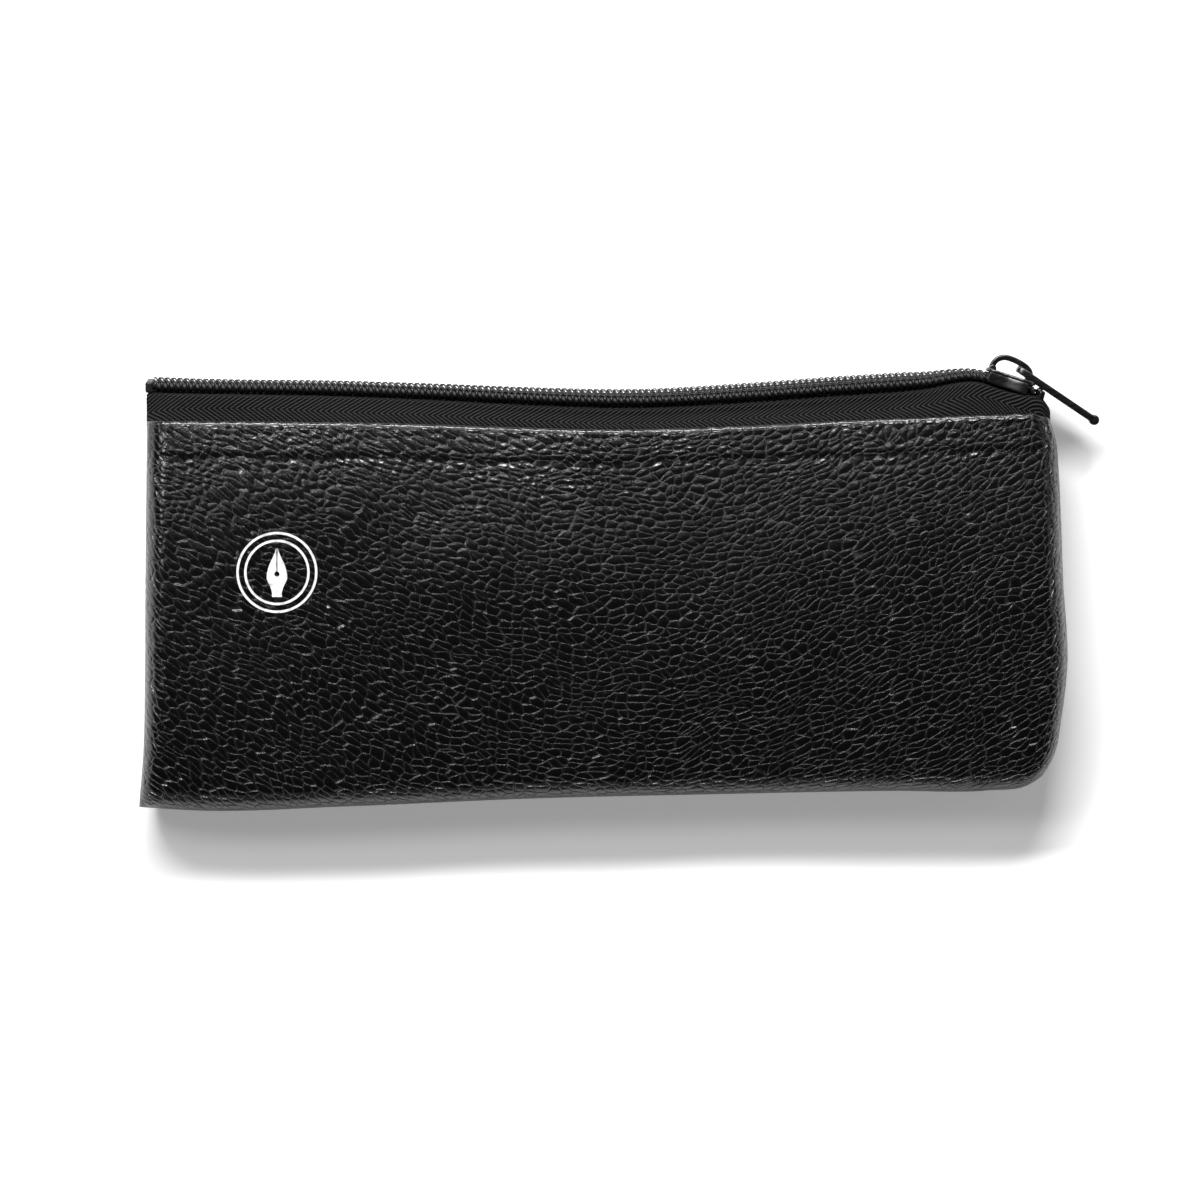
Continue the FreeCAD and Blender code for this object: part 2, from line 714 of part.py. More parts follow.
def plate_outline(inset="0"):
    """Half of the slider plate's outline from tail to nose, mirrored: x along, y across."""
    tail = f"Dims.slider_tail - ({inset})"
    nose = f"Dims.slider_nose - ({inset})"
    half = [
        ("-Dims.slider_half", f"{tail} - 0.8"),
        ("-Dims.slider_half + 0.8", tail),
        ("-1", tail),
        ("Dims.slider_half - 2.2", nose),
        ("Dims.slider_half - 0.9", nose),
        ("Dims.slider_half", f"{nose} - 1.2"),
    ]
    return half + [(x, f"-({y})") for x, y in reversed(half)]


def make_slider():
    """The slider: two plates joined by the wedge, flanges, and the bail over the upper plate."""
    body = new_body("slider_casting")
    bottom = "Dims.channel_low - Dims.plate_thick"
    lower = sketch_on(body, "XY_Plane", "lower_plate", bottom)
    polygon(lower, plate_outline())
    pad(body, lower, "Dims.plate_thick")
    wedge = sketch_on(body, "XY_Plane", "wedge", "Dims.channel_low")
    polygon(wedge, [
        ("1.2", "0.12"), ("1.2", "-0.12"),
        ("4.4", "-Dims.wedge_half"), ("Dims.slider_half - 0.3", "-Dims.wedge_half"),
        ("Dims.slider_half - 0.3", "Dims.wedge_half"), ("4.4", "Dims.wedge_half"),
    ])
    pad(body, wedge, "Dims.channel_high - Dims.channel_low")
    upper = sketch_on(body, "XY_Plane", "upper_plate", "Dims.channel_high")
    polygon(upper, plate_outline())
    pad(body, upper, "Dims.plate_thick")
    for way, sign in (("front", ""), ("back", "-")):
        flange = sketch_on(body, "XY_Plane", f"flange_{way}", "Dims.flange_low")
        outer = [
            ("-Dims.slider_half + 0.8", "Dims.slider_tail"), ("-1", "Dims.slider_tail"),
            ("Dims.slider_half - 2.2", "Dims.slider_nose"),
            ("Dims.slider_half - 0.9", "Dims.slider_nose"),
        ]
        inner = [(x, f"{y} - Dims.flange_thick") for x, y in reversed(outer)]
        polygon(flange, [(x, f"{sign}({y})") for x, y in outer + inner])
        pad(body, flange, "Dims.channel_high - Dims.flange_low")
    edges = plate_rims()
    fillet_edges(body, edges, "Dims.plate_edge", "plate_edges")
    bail = sketch_on(body, "XZ_Plane", "bail")
    base = "Dims.channel_high + Dims.plate_thick"
    polygon(bail, bail_outline(base, "0", "-0.3"))
    polygon(bail, bail_outline(base, "Dims.bail_thick", "0.02"))
    pad(body, bail, "Dims.bail_width", True)
    body.Placement = slider_placement()
    return keep(body, "slider_body")


def bail_outline(base, inset, sink):
    """The bail's side view, moved in by inset: a flat arch with cut corners."""
    left = f"Dims.bail_left + ({inset})"
    right = f"Dims.bail_right - ({inset})"
    top = f"{base} + Dims.bail_height - ({inset})"
    corner = f"(Dims.bail_corner - ({inset}) * 0.5)"
    foot = f"{base} + ({sink})"
    return [
        (left, foot), (left, f"{top} - {corner}"), (f"{left} + {corner}", top),
        (f"{right} - {corner}", top), (right, f"{top} - {corner}"), (right, foot),
    ]


def plate_rims():
    """A test for the long edges of the two plates' outer faces."""
    top = dim("channel_high") + dim("plate_thick")
    bottom = dim("channel_low") - dim("plate_thick")

    def test(edge):
        levels = {round(v.Point.z, 3) for v in edge.Vertexes}
        return levels == {round(top, 3)} or levels == {round(bottom, 3)}

    return test


def slider_placement():
    """The slider on the chain: its x along the zip with the nose dipped, its z out of the zip."""
    pitch = math.radians(dim("slider_pitch"))
    roll = math.radians(dim("chain_roll"))
    along = V(math.cos(pitch), math.sin(pitch), 0)
    out = V(-math.sin(pitch) * math.cos(roll), math.cos(pitch) * math.cos(roll), math.sin(roll))
    across = out.cross(along)
    matrix = FreeCAD.Matrix(
        along.x, across.x, out.x, dim("slider_x"),
        along.y, across.y, out.y, dim("slider_y"),
        along.z, across.z, out.z, dim("seam_level"),
    )
    return FreeCAD.Placement(matrix)


def make_pull():
    """The pull tab: a head bar through the bail, two legs and a handle with a bead."""
    body = new_body("pull_tab_casting")
    half = "Dims.pull_width / 2"
    legs = sketch_on(body, "XY_Plane", "legs", "-Dims.leg_thick / 2")
    polygon(legs, [
        ("0", f"-{half} + 0.5"), ("1", f"-{half}"), ("Dims.pull_length - 3", f"-{half}"),
        ("Dims.pull_length - 0.6", f"-{half} + 0.9"), ("Dims.pull_length - 0.6", f"{half} - 0.9"),
        ("Dims.pull_length - 3", half), ("1", half), ("0", f"{half} - 0.5"),
    ])
    pad(body, legs, "Dims.leg_thick")
    slot = sketch_on(body, "XY_Plane", "slot")
    side = "Dims.slot_width / 2"
    polygon(slot, [
        ("Dims.leg_thick / 4", f"-{side}"), ("Dims.slot_end - 0.8", f"-{side}"),
        ("Dims.slot_end", f"-{side} + 0.8"), ("Dims.slot_end", f"{side} - 0.8"),
        ("Dims.slot_end - 0.8", side), ("Dims.leg_thick / 4", side),
    ])
    pocket_through(body, slot)
    head = sketch_on(body, "XZ_Plane", "head_bar")
    circle(head, "0", "0", "Dims.leg_thick / 2")
    pad(body, head, "Dims.pull_width - 1", True)
    handle = sketch_on(body, "XY_Plane", "handle", "-Dims.pull_thick / 2")
    polygon(handle, [
        ("Dims.slot_end + 1.2", f"-{half} + 0.6"), ("Dims.pull_length - 2.6", f"-{half} + 0.6"),
        ("Dims.pull_length - 2.6", f"{half} - 0.6"), ("Dims.slot_end + 1.2", f"{half} - 0.6"),
    ])
    pad(body, handle, "Dims.pull_thick")
    bead = sketch_on(body, "XZ_Plane", "bead")
    circle(bead, "Dims.pull_length - Dims.pull_rim / 2", "0", "Dims.pull_rim / 2")
    pad(body, bead, "Dims.pull_width - 2", True)
    lift = dim("channel_high") + dim("plate_thick") + dim("pivot_height")
    at_pivot = FreeCAD.Placement(V(dim("pivot_x"), 0, lift), FreeCAD.Rotation(V(0, 1, 0), 0))
    dipped = FreeCAD.Placement(V(0, 0, 0), FreeCAD.Rotation(V(0, 1, 0), dim("pull_dip")))
    body.Placement = slider_placement().multiply(at_pivot).multiply(dipped)
    return keep(body, "pull_tab")


# ---------------------------------------------------------------------------------------------
# Sewing and print
# ---------------------------------------------------------------------------------------------


def stitch_shape(depth):
    """A lockstitch through a seam: a bar on each face and a leg through at each end."""
    radius = dim("thread") / 2
    length = dim("stitch_length") - 2 * radius
    rise = depth / 2 + radius
    shape = None
    for way in (1, -1):
        bar = Part.makeCylinder(radius, length, V(-length / 2, 0, way * rise), V(1, 0, 0))
        leg = Part.makeCylinder(radius, 2 * rise, V(way * length / 2, 0, -rise), V(0, 0, 1))
        ends = [Part.makeSphere(radius, V(s * length / 2, 0, way * rise)) for s in (1, -1)]
        for piece in [bar, leg] + ends:
            shape = piece if shape is None else shape.fuse(piece)
    return shape


def stitches_between(shape, start, end):
    """Copies of a stitch from start to end, at the stitch pitch."""
    span = end - start
    count = int(span.Length / dim("stitch_pitch"))
    turn = FreeCAD.Rotation(V(1, 0, 0), span)
    copies = []
    for i in range(count):
        copy = shape.copy()
        middle = start + span * ((i + 0.5) / count)
        copy.Placement = FreeCAD.Placement(middle, turn)
        copies.append(copy)
    return copies


def make_seam_threads():
    """The stitches that join the two panels' seam allowances."""
    inset = dim("leather_thick") + 1.3
    level = dim("seam_level")
    top = mouth_y(-100) - dim("hem_depth") - 3.5
    left_bottom = V(dim("left_bottom_x") + inset, dim("left_bottom_y") + inset + 1, level)
    left_top = V(dim("left_top_x") + inset - 0.2, top, level)
    right_bottom = V(dim("right_bottom_x") - inset - 8, dim("right_bottom_y") + inset, level)
    bulge = V(dim("bulge_x") - inset - 0.4, dim("bulge_y"), level)
    corner = V(dim("right_bottom_x") - inset - 0.6, dim("right_bottom_y") + inset + 7, level)
    shoulder = V(dim("shoulder_x") - inset, dim("shoulder_y") - 2.5, level)
    stitch = stitch_shape(2 * dim("leather_thick"))
    rows = {
        "side_seam_thread_left": [(left_bottom, left_top)],
        "side_seam_thread_right": [(corner, bulge), (bulge, shoulder)],
        "bottom_seam_thread": [(left_bottom + V(3, -1, 0), right_bottom)],
    }
    for name, spans in rows.items():
        copies = []
        for start, end in spans:
            copies += stitches_between(stitch, start, end)
        keep(part_feature(name, Part.makeCompound(copies)), name)


def make_zip_threads():
    """The rows of thread on the tape's inner face where it is sewn to the hem."""
    radius = 0.15
    for half, side in (("front", 1), ("back", -1)):
        bars = []
        pitch = dim("stitch_pitch")
        count = int((dim("zip_wedge_x") - dim("zip_open_x") - 4) / pitch)
        for i in range(count):
            ends = []
            for along in (0, dim("stitch_length") - 0.3):
                x = dim("zip_open_x") + 2 + i * pitch + along
                y = mouth_y(x) - 1.4
                clear = dim("tape_thick") / 2 + radius + 0.06
                ends.append(V(x, y, under_hem(side, y) - side * clear))
            span = ends[1] - ends[0]
            bars.append(Part.makeCylinder(radius, span.Length, ends[0], span))
        name = f"zip_seam_thread_{half}"
        keep(part_feature(name, Part.makeCompound(bars)), name)


def make_emblem():
    """The emblem printed on the front panel: two rings about a pen nib."""
    ink = new_body("ink_layer")
    section = sketch_on(ink, "YZ_Plane", "ink_section")
    low = [V(y, crown_height(y), 0) for y in (-10.0, 10.0, 30.0)]
    high = [p + V(0, dim("print_thick"), 0) for p in low]
    section.addGeometry(Part.Arc(low[0], low[1], low[2]), False)
    section.addGeometry(Part.Arc(high[0], high[1], high[2]), False)
    section.addGeometry(Part.LineSegment(low[0], high[0]), False)
    section.addGeometry(Part.LineSegment(low[2], high[2]), False)
    pad(ink, section, "-2 * Dims.emblem_x + 40", True)
    mark = new_body("emblem_outline")
    rings = sketch_on(mark, "XY_Plane", "emblem_rings")
    for radius in ("Dims.emblem_radius", "Dims.inner_ring"):
        circle(rings, "Dims.emblem_x", "Dims.emblem_y", radius)
        circle(rings, "Dims.emblem_x", "Dims.emblem_y", f"{radius} - Dims.ring_width")
    pad(mark, rings, "Dims.crown_middle + 5")
    outline_ring = boolean("Common", "printed_rings", ink, mark)
    nib = new_body("nib_outline")
    shape = sketch_on(nib, "XY_Plane", "nib")
    across = [(0, 5.6), (1.5, 2.4), (2.1, -0.6), (1.2, -3.4), (1.2, -5.6)]
    left = [(f"Dims.emblem_x - {x}", f"Dims.emblem_y + {y}") for x, y in across]
    right = [(f"Dims.emblem_x + {x}", f"Dims.emblem_y + {y}") for x, y in across[:0:-1]]
    polygon(shape, [(x, y.replace("+ -", "- ")) for x, y in left + right])
    circle(shape, "Dims.emblem_x", "Dims.emblem_y - 0.4", "0.6")
    pad(nib, shape, "Dims.crown_middle + 5")
    printed_nib = boolean("Common", "printed_nib", ink, nib)
    keep(boolean("Fuse", "emblem", outline_ring, printed_nib), "printed_emblem")


def check_and_write():
    """Stops on a failed object or a bad shape, then writes each part."""
    doc.recompute()
    for obj in doc.Objects:
        if "Invalid" in obj.State or "Error" in obj.State:
            raise RuntimeError(f"{obj.Label} failed: {obj.State}")
    os.makedirs("parts", exist_ok=True)
    for name, obj in finished.items():
        shape = obj.Shape
        if shape.isNull() or not shape.isValid():
            raise RuntimeError(f"{name} has a bad shape")
        shape.exportStep(f"parts/{name}.step")
        print(f"{name}: {len(shape.Solids)} solids, {shape.Volume:.1f} mm3")


fill_sheet()
make_panels()
make_linings()
for half_name, half_side in (("front", 1), ("back", -1)):
    make_tape(f"zip_tape_{half_name}", half_side)
    make_coil(f"zip_coil_{half_name}", half_side)
    make_cords(half_name, half_side)
make_stops()
make_slider()
make_pull()
make_seam_threads()
make_zip_threads()
make_emblem()
check_and_write()
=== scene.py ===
import logging
import math
from collections.abc import Callable
from dataclasses import dataclass, field
from enum import Enum

import bpy
import numpy as np
from mathutils import Matrix, Vector


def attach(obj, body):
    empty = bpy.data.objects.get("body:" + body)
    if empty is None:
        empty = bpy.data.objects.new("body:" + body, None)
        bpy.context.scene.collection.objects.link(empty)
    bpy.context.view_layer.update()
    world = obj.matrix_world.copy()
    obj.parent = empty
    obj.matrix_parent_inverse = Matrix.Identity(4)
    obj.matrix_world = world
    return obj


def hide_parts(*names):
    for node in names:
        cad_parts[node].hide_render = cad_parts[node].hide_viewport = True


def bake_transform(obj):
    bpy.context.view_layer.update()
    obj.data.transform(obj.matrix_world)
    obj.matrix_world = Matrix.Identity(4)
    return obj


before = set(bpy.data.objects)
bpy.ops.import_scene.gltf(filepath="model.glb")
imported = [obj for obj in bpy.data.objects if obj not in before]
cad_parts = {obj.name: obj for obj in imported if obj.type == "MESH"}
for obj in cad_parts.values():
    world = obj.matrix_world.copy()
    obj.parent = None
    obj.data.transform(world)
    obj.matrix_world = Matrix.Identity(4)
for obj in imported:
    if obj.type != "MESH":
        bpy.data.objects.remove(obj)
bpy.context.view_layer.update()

MM = 0.001
LOG = logging.getLogger("pen_case")
Array = np.ndarray


class Side(Enum):
    """The two sides of the case. The value is the way along Z from the seam."""

    FRONT = 1
    BACK = -1

    @property
    def word(self) -> str:
        """The word that node and piece names use for this side."""
        return self.name.lower()


class End(Enum):
    """The two ends of the zip. The value is the way along X from the middle."""

    LEFT = -1
    RIGHT = 1

    @property
    def word(self) -> str:
        """The word that piece names use for this end."""
        return self.name.lower()


# ---------------------------------------------------------------------------------------------
# Modelling helpers
# ---------------------------------------------------------------------------------------------


def pick_only(*objects: bpy.types.Object) -> None:
    """Deselects everything, then selects these objects and makes the first one active."""
    bpy.ops.object.select_all(action="DESELECT")
    for obj in objects:
        obj.select_set(True)
    bpy.context.view_layer.objects.active = objects[0]


def named(obj: bpy.types.Object, name: str) -> bpy.types.Object:
    """Names an object and its mesh, and returns the object."""
    obj.name = name
    obj.data.name = name
    return obj


def points_of(obj: bpy.types.Object) -> Array:
    """The vertices of a mesh object, one row each."""
    flat = np.empty(len(obj.data.vertices) * 3)
    obj.data.vertices.foreach_get("co", flat)
    return flat.reshape(-1, 3)


def move_points(obj: bpy.types.Object, places: Array) -> None:
    """Puts every vertex of a mesh object at its row of places."""
    obj.data.vertices.foreach_set("co", places.ravel())
    obj.data.update()


def grid(name: str, columns: int, rows: int) -> bpy.types.Object:
    """Adds a unit grid whose vertices run from 0 to 1 along X and Y.

    Args:
        name: The piece's name.
        columns: Faces along X.
        rows: Faces along Y.

    Returns:
        The new mesh object, with a UV map that matches its X and Y.
    """
    bpy.ops.object.select_all(action="DESELECT")
    bpy.ops.mesh.primitive_grid_add(x_subdivisions=columns, y_subdivisions=rows, size=1.0)
    obj = named(bpy.context.object, name)
    move_points(obj, points_of(obj) + np.array([0.5, 0.5, 0.0]))
    return obj


def drape(obj: bpy.types.Object, surface: Callable[[Array, Array], Array]) -> None:
    """Moves a unit grid's vertices onto a surface.

    Args:
        obj: A grid whose vertices run from 0 to 1.
        surface: Gives the places in millimetres for the grid's two coordinates.
    """
    spots = points_of(obj)
    move_points(obj, surface(spots[:, 0], spots[:, 1]) * MM)


def apply_modifiers(obj: bpy.types.Object) -> None:
    """Applies every modifier of an object in order."""
    pick_only(obj)
    for modifier in list(obj.modifiers):
        bpy.ops.object.modifier_apply(modifier=modifier.name)


def thicken(obj: bpy.types.Object, thickness: float, offset: float) -> None:
    """Gives a sheet its thickness in metres.

    Args:
        obj: The sheet.
        thickness: How thick it becomes.
        offset: 1 grows along the normals, -1 against them, 0 both ways.
    """
    solid = obj.modifiers.new("Thickness", "SOLIDIFY")
    solid.thickness = thickness
    solid.offset = offset
    apply_modifiers(obj)


def outward(obj: bpy.types.Object) -> None:
    """Merges doubled vertices and turns every face of a closed mesh outwards."""
    pick_only(obj)
    bpy.ops.object.mode_set(mode="EDIT")
    bpy.ops.mesh.select_all(action="SELECT")
    bpy.ops.mesh.remove_doubles(threshold=1e-7)
    bpy.ops.mesh.normals_make_consistent(inside=False)
    bpy.ops.object.mode_set(mode="OBJECT")


def smooth(obj: bpy.types.Object, angle: float = 40.0) -> None:
    """Shades a mesh smooth apart from edges sharper than angle, in degrees."""
    pick_only(obj)
    bpy.ops.object.shade_smooth_by_angle(angle=math.radians(angle))


def dress(obj: bpy.types.Object, material: bpy.types.Material) -> None:
    """Gives an object its only material."""
    obj.data.materials.clear()
    obj.data.materials.append(material)


def join(name: str, objects: list[bpy.types.Object]) -> bpy.types.Object:
    """Joins mesh objects into one and names it."""
    pick_only(*objects)
    bpy.ops.object.join()
    return named(bpy.context.object, name)


def settle(obj: bpy.types.Object) -> None:
    """Puts an object's place, turn and scale into its mesh."""
    pick_only(obj)
    bpy.ops.object.transform_apply(location=True, rotation=True, scale=True)


def smooth_line(stops: list[tuple[float, ...]]) -> Callable[[Array], Array]:
    """A smooth curve through stops whose first number is the distance along.

    Args:
        stops: Rows of a distance and the values there, in order of distance.

    Returns:
        A function that gives one row of values for each distance.
    """
    table = np.array(stops, float)
    at, values = table[:, 0], table[:, 1:]
    slopes = np.gradient(values, at, axis=0)

    def curve(distance: Array) -> Array:
        """The values at each distance, held at the two ends."""
        where = np.clip(np.atleast_1d(distance), at[0], at[-1])
        i = np.clip(np.searchsorted(at, where, side="right") - 1, 0, len(at) - 2)
        span = (at[i + 1] - at[i])[:, None]
        t = ((where - at[i]) / (at[i + 1] - at[i]))[:, None]
        start, end = values[i], values[i + 1]
        rise, fall = slopes[i] * span, slopes[i + 1] * span
        return (
            (2 * t**3 - 3 * t**2 + 1) * start
            + (t**3 - 2 * t**2 + t) * rise
            + (-2 * t**3 + 3 * t**2) * end
            + (t**3 - t**2) * fall
        )

    return curve


def edge_line(corners: list[tuple[float, float]]) -> Callable[[Array], Array]:
    """A smooth line through corners, run along from 0 to 1 by its length."""
    places = np.array(corners, float)
    steps = np.linalg.norm(np.diff(places, axis=0), axis=1)
    along = np.concatenate([[0.0], np.cumsum(steps)]) / steps.sum()
    return smooth_line([(a, *place) for a, place in zip(along, places)])


def ease(low: float, high: float, value: Array) -> Array:
    """0 below low, 1 above high, and a smooth rise between them."""
    t = np.clip((value - low) / (high - low), 0.0, 1.0)
    return t * t * (3.0 - 2.0 * t)


def squarish(wave: Array, power: float) -> Array:
    """Pushes a sine or cosine towards -1 and 1, which squares up a round outline."""
    return np.sign(wave) * np.abs(wave) ** power


def hash_grid(i: Array, j: Array, seed: int) -> Array:
    """A steady number from 0 to 1 for each pair of whole numbers."""
    mixed = np.sin(i * 127.1 + j * 311.7 + seed * 74.7) * 43758.5453
    return mixed - np.floor(mixed)


def waves(x: Array, y: Array, size: float, seed: int) -> Array:
    """Smooth uneven relief from -1 to 1.

    Args:
        x: Places along X.
        y: Places along Y.
        size: Distance between hills.
        seed: Chooses the relief.

    Returns:
        One height for each place.
    """
    u, v = x / size, y / size
    i, j = np.floor(u), np.floor(v)
    a, b = ease(0, 1, u - i), ease(0, 1, v - j)
    low = hash_grid(i, j, seed) * (1 - a) + hash_grid(i + 1, j, seed) * a
    high = hash_grid(i, j + 1, seed) * (1 - a) + hash_grid(i + 1, j + 1, seed) * a
    return 2.0 * (low * (1 - b) + high * b) - 1.0


# ---------------------------------------------------------------------------------------------
# Finishes
# ---------------------------------------------------------------------------------------------


class Recipe:
    """A node material under construction. Each method returns an output socket."""

    def __init__(self, name: str) -> None:
        """Starts an empty material with one Principled shader."""
        self.material = bpy.data.materials.new(name)
        self.material.use_nodes = True
        self.tree = self.material.node_tree
        self.shader = self.tree.nodes["Principled BSDF"]
        self.where = self.tree.nodes.new("ShaderNodeTexCoord")

    def set(self, **values: object) -> None:
        """Sets plain values on the shader; names use _ for spaces."""
        for key, value in values.items():
            self.shader.inputs[key.replace("_", " ")].default_value = value

    def feed(self, socket: str, source: bpy.types.NodeSocket) -> None:
        """Links an output to one of the shader's inputs."""
        self.tree.links.new(source, self.shader.inputs[socket])

    def node(self, kind: str, inputs: dict[str | int, object],
             **settings: object) -> bpy.types.Node:
        """Adds a node.

        Args:
            kind: The node's type name after ShaderNode.
            inputs: Values or output sockets for its inputs.
            **settings: The node's own settings.

        Returns:
            The new node.
        """
        new = self.tree.nodes.new("ShaderNode" + kind)
        for key, value in settings.items():
            setattr(new, key, value)
        for key, value in inputs.items():
            if isinstance(value, bpy.types.NodeSocket):
                self.tree.links.new(value, new.inputs[key])
            else:
                new.inputs[key].default_value = value
        return new

    def place(self, stretch: tuple[float, float, float], uv: bool = False) -> bpy.types.NodeSocket:
        """Coordinates multiplied by stretch, from the object's own space or its UV map."""
        source = self.where.outputs["UV" if uv else "Object"]
        return self.node("Mapping", {"Vector": source, "Scale": stretch}).outputs[0]

    def noise(self, at: bpy.types.NodeSocket, detail: float = 3.0) -> bpy.types.NodeSocket:
        """Cloudy noise from 0 to 1, one cloud for each unit of at."""
        return self.node("TexNoise", {"Vector": at, "Scale": 1.0, "Detail": detail}).outputs[0]

    def cells(self, at: bpy.types.NodeSocket, feature: str = "F1") -> bpy.types.NodeSocket:
        """Distance in a cell pattern, one cell for each unit of at."""
        return self.node("TexVoronoi", {"Vector": at, "Scale": 1.0}, feature=feature).outputs[0]

    def math(self, operation: str, *terms: object) -> bpy.types.NodeSocket:
        """A sum of numbers or sockets."""
        return self.node("Math", dict(enumerate(terms)), operation=operation).outputs[0]

    def fit(self, source: bpy.types.NodeSocket, low: float, high: float,
            to_low: float = 0.0, to_high: float = 1.0) -> bpy.types.NodeSocket:
        """Maps low..high to to_low..to_high and holds it there."""
        return self.node(
            "MapRange", {0: source, 1: low, 2: high, 3: to_low, 4: to_high}
        ).outputs[0]

    def mix(self, factor: bpy.types.NodeSocket, first: object,
            second: object) -> bpy.types.NodeSocket:
        """A colour between first and second."""
        return self.node("Mix", {0: factor, 6: first, 7: second}, data_type="RGBA").outputs[2]

    def attribute(self, name: str) -> bpy.types.NodeSocket:
        """A number stored on the mesh."""
        return self.node("Attribute", {}, attribute_name=name).outputs["Fac"]

    def relief(self, *layers: tuple[bpy.types.NodeSocket, float]) -> None:
        """Feeds the shader's normal from heights and their depths in metres."""
        normal = None
        for height, depth in layers:
            inputs = {"Height": height, "Distance": depth, "Strength": 1.0}
            if normal is not None:
                inputs["Normal"] = normal
            normal = self.node("Bump", inputs).outputs[0]
        self.feed("Normal", normal)


def tint(level: float, warmth: float = 0.0) -> tuple[float, float, float, float]:
    """A near-grey colour; warmth above 0 leans to brown, below 0 to blue."""
    return (level * (1 + warmth), level, level * (1 - warmth), 1.0)


@dataclass(frozen=True)
class PebbledLeather:
    """Black tumbled leather: glossy pebbles, duller creases painted pale as a painted glint broken
    into dashes, dull side bands.
    """

    name: str = "pebbled_leather"
    top: float = 0.0016
    # Colour of the painted glint along the creases.
    crease: float = 0.022
    gloss: float = 0.17
    dull: float = 0.27
    press: float = 0.3
    pore: float = 0.42 * MM
    wrinkle: float = 1.1 * MM

    def build(self) -> bpy.types.Material:
        """Makes the material."""
        mix = Recipe(self.name)
        smooth_share = 0.5
        grain = mix.node("Attribute", {}, attribute_name="grain").outputs["Vector"]
        raised = pebble_height(mix.tree, grain)
        depth = mix.math("MULTIPLY", raised, mix.attribute("grain_share"))
        cloud = mix.math("ADD", mix.noise(mix.place((45.0, 45.0, 45.0))), mix.attribute("polish"))
        # Painted highlight: the creases are painted paler than the pebbles as a painted glint, and
        # noise breaks these pale lines into dashes.
        painted_glint_gaps = mix.fit(mix.noise(mix.place((900.0, 900.0, 900.0)), 2.0), 0.42, 0.58, 0.0, 0.9)
        tone = mix.math("MAXIMUM", mix.fit(raised, 0.04, 0.4), painted_glint_gaps)
        mix.feed("Base Color", mix.mix(tone, tint(self.crease), tint(self.top, 0.03)))
        fine = 1.0 / self.pore
        pores = mix.cells(mix.place((fine, fine, fine)))
        folds = 1.0 / self.wrinkle
        wrinkles = mix.noise(mix.place((folds, folds * 1.7, folds)), 5.0)
        worn = mix.math("ADD", mix.fit(raised, 0.25, 0.95), mix.fit(cloud, 0.35, 0.7, -0.25, 0.2))
        satin = mix.fit(worn, 0.0, 1.5, self.dull, self.gloss)
        band = mix.math("ABSOLUTE", mix.math("SUBTRACT", mix.attribute("grain_share"), smooth_share))
        mix.feed("Roughness", mix.math("ADD", satin, mix.fit(band, 0.0, 0.3, 0.18, 0.0)))
        mix.set(Specular_IOR_Level=0.55)
        mix.relief((depth, self.press * MM), (wrinkles, 0.05 * MM), (pores, 0.026 * MM))
        return mix.material


@dataclass(frozen=True)
class Herringbone:
    """Woven zip tape with slanted ribs that meet along the middle of the tape."""

    name: str = "herringbone_tape"
    rib: float = 1.3
    spine: float = 6.9
    slant: float = 1.4
    colour: float = 0.055

    def build(self) -> bpy.types.Material:
        """Makes the material. The tape's UV map is in millimetres."""
        mix = Recipe(self.name)
        apart = mix.node("SeparateXYZ", {0: mix.place((1.0, 1.0, 1.0), uv=True)})
        along, across = apart.outputs[0], apart.outputs[1]
        away = mix.math("ABSOLUTE", mix.math("SUBTRACT", across, self.spine))
        ribs = mix.math("SUBTRACT", along, mix.math("MULTIPLY", away, self.slant))
        turn = 2 * math.pi / self.rib
        wave = mix.math("SINE", mix.math("MULTIPLY", ribs, turn))
        cross = mix.math("SINE", mix.math("MULTIPLY", across, 2 * math.pi / 0.42))
        height = mix.math("ADD", wave, mix.math("MULTIPLY", cross, 0.35))
        fuzz = mix.noise(mix.place((2600.0, 2600.0, 2600.0)))
        # Painted shade: the grooves between the ribs are painted far darker than the ribs.
        painted_groove_shade = mix.fit(mix.math("ADD", height, fuzz), 0.4, 1.9)
        mix.feed("Base Color", mix.mix(painted_groove_shade, tint(self.colour * 0.03), tint(self.colour)))
        mix.feed("Roughness", mix.fit(fuzz, 0.3, 0.7, 0.7, 0.9))
        mix.set(Specular_IOR_Level=0.1)
        mix.relief((height, 0.24 * MM), (fuzz, 0.02 * MM))
        return mix.material


@dataclass(frozen=True)
class Nylon:
    """Drawn nylon, as in the zip's coils: satin, with faint streaks."""

    name: str = "nylon_coil"
    colour: float = 0.003
    rough: float = 0.27

    def build(self) -> bpy.types.Material:
        """Makes the material."""
        mix = Recipe(self.name)
        streak = mix.noise(mix.place((900.0, 2600.0, 2600.0)))
        mix.feed("Base Color", mix.mix(streak, tint(self.colour * 0.7), tint(self.colour * 1.3)))
        mix.feed("Roughness", mix.fit(streak, 0.3, 0.7, self.rough, self.rough + 0.14))
        mix.set(Specular_IOR_Level=0.38)
        mix.relief((streak, 0.012 * MM))
        return mix.material


@dataclass(frozen=True)
class Enamel:
    """Black baked enamel on cast zinc, a little worn in scattered streaks."""

    name: str = "black_enamel"
    colour: float = 0.004
    bare: float = 0.03
    rough: float = 0.24

    def build(self) -> bpy.types.Material:
        """Makes the material."""
        mix = Recipe(self.name)
        peel = mix.noise(mix.place((1500.0, 1500.0, 1500.0)), 2.0)
        scuff = mix.noise(mix.place((420.0, 1900.0, 420.0)), 6.0)
        wear = mix.fit(scuff, 0.62, 0.78)
        mix.feed("Base Color", mix.mix(wear, tint(self.colour), tint(self.bare, 0.04)))
        mix.feed("Roughness", mix.fit(scuff, 0.35, 0.75, self.rough, self.rough + 0.2))
        mix.set(Specular_IOR_Level=0.55, Coat_Weight=0.25, Coat_Roughness=0.15)
        mix.relief((peel, 0.02 * MM), (scuff, 0.01 * MM))
        return mix.material


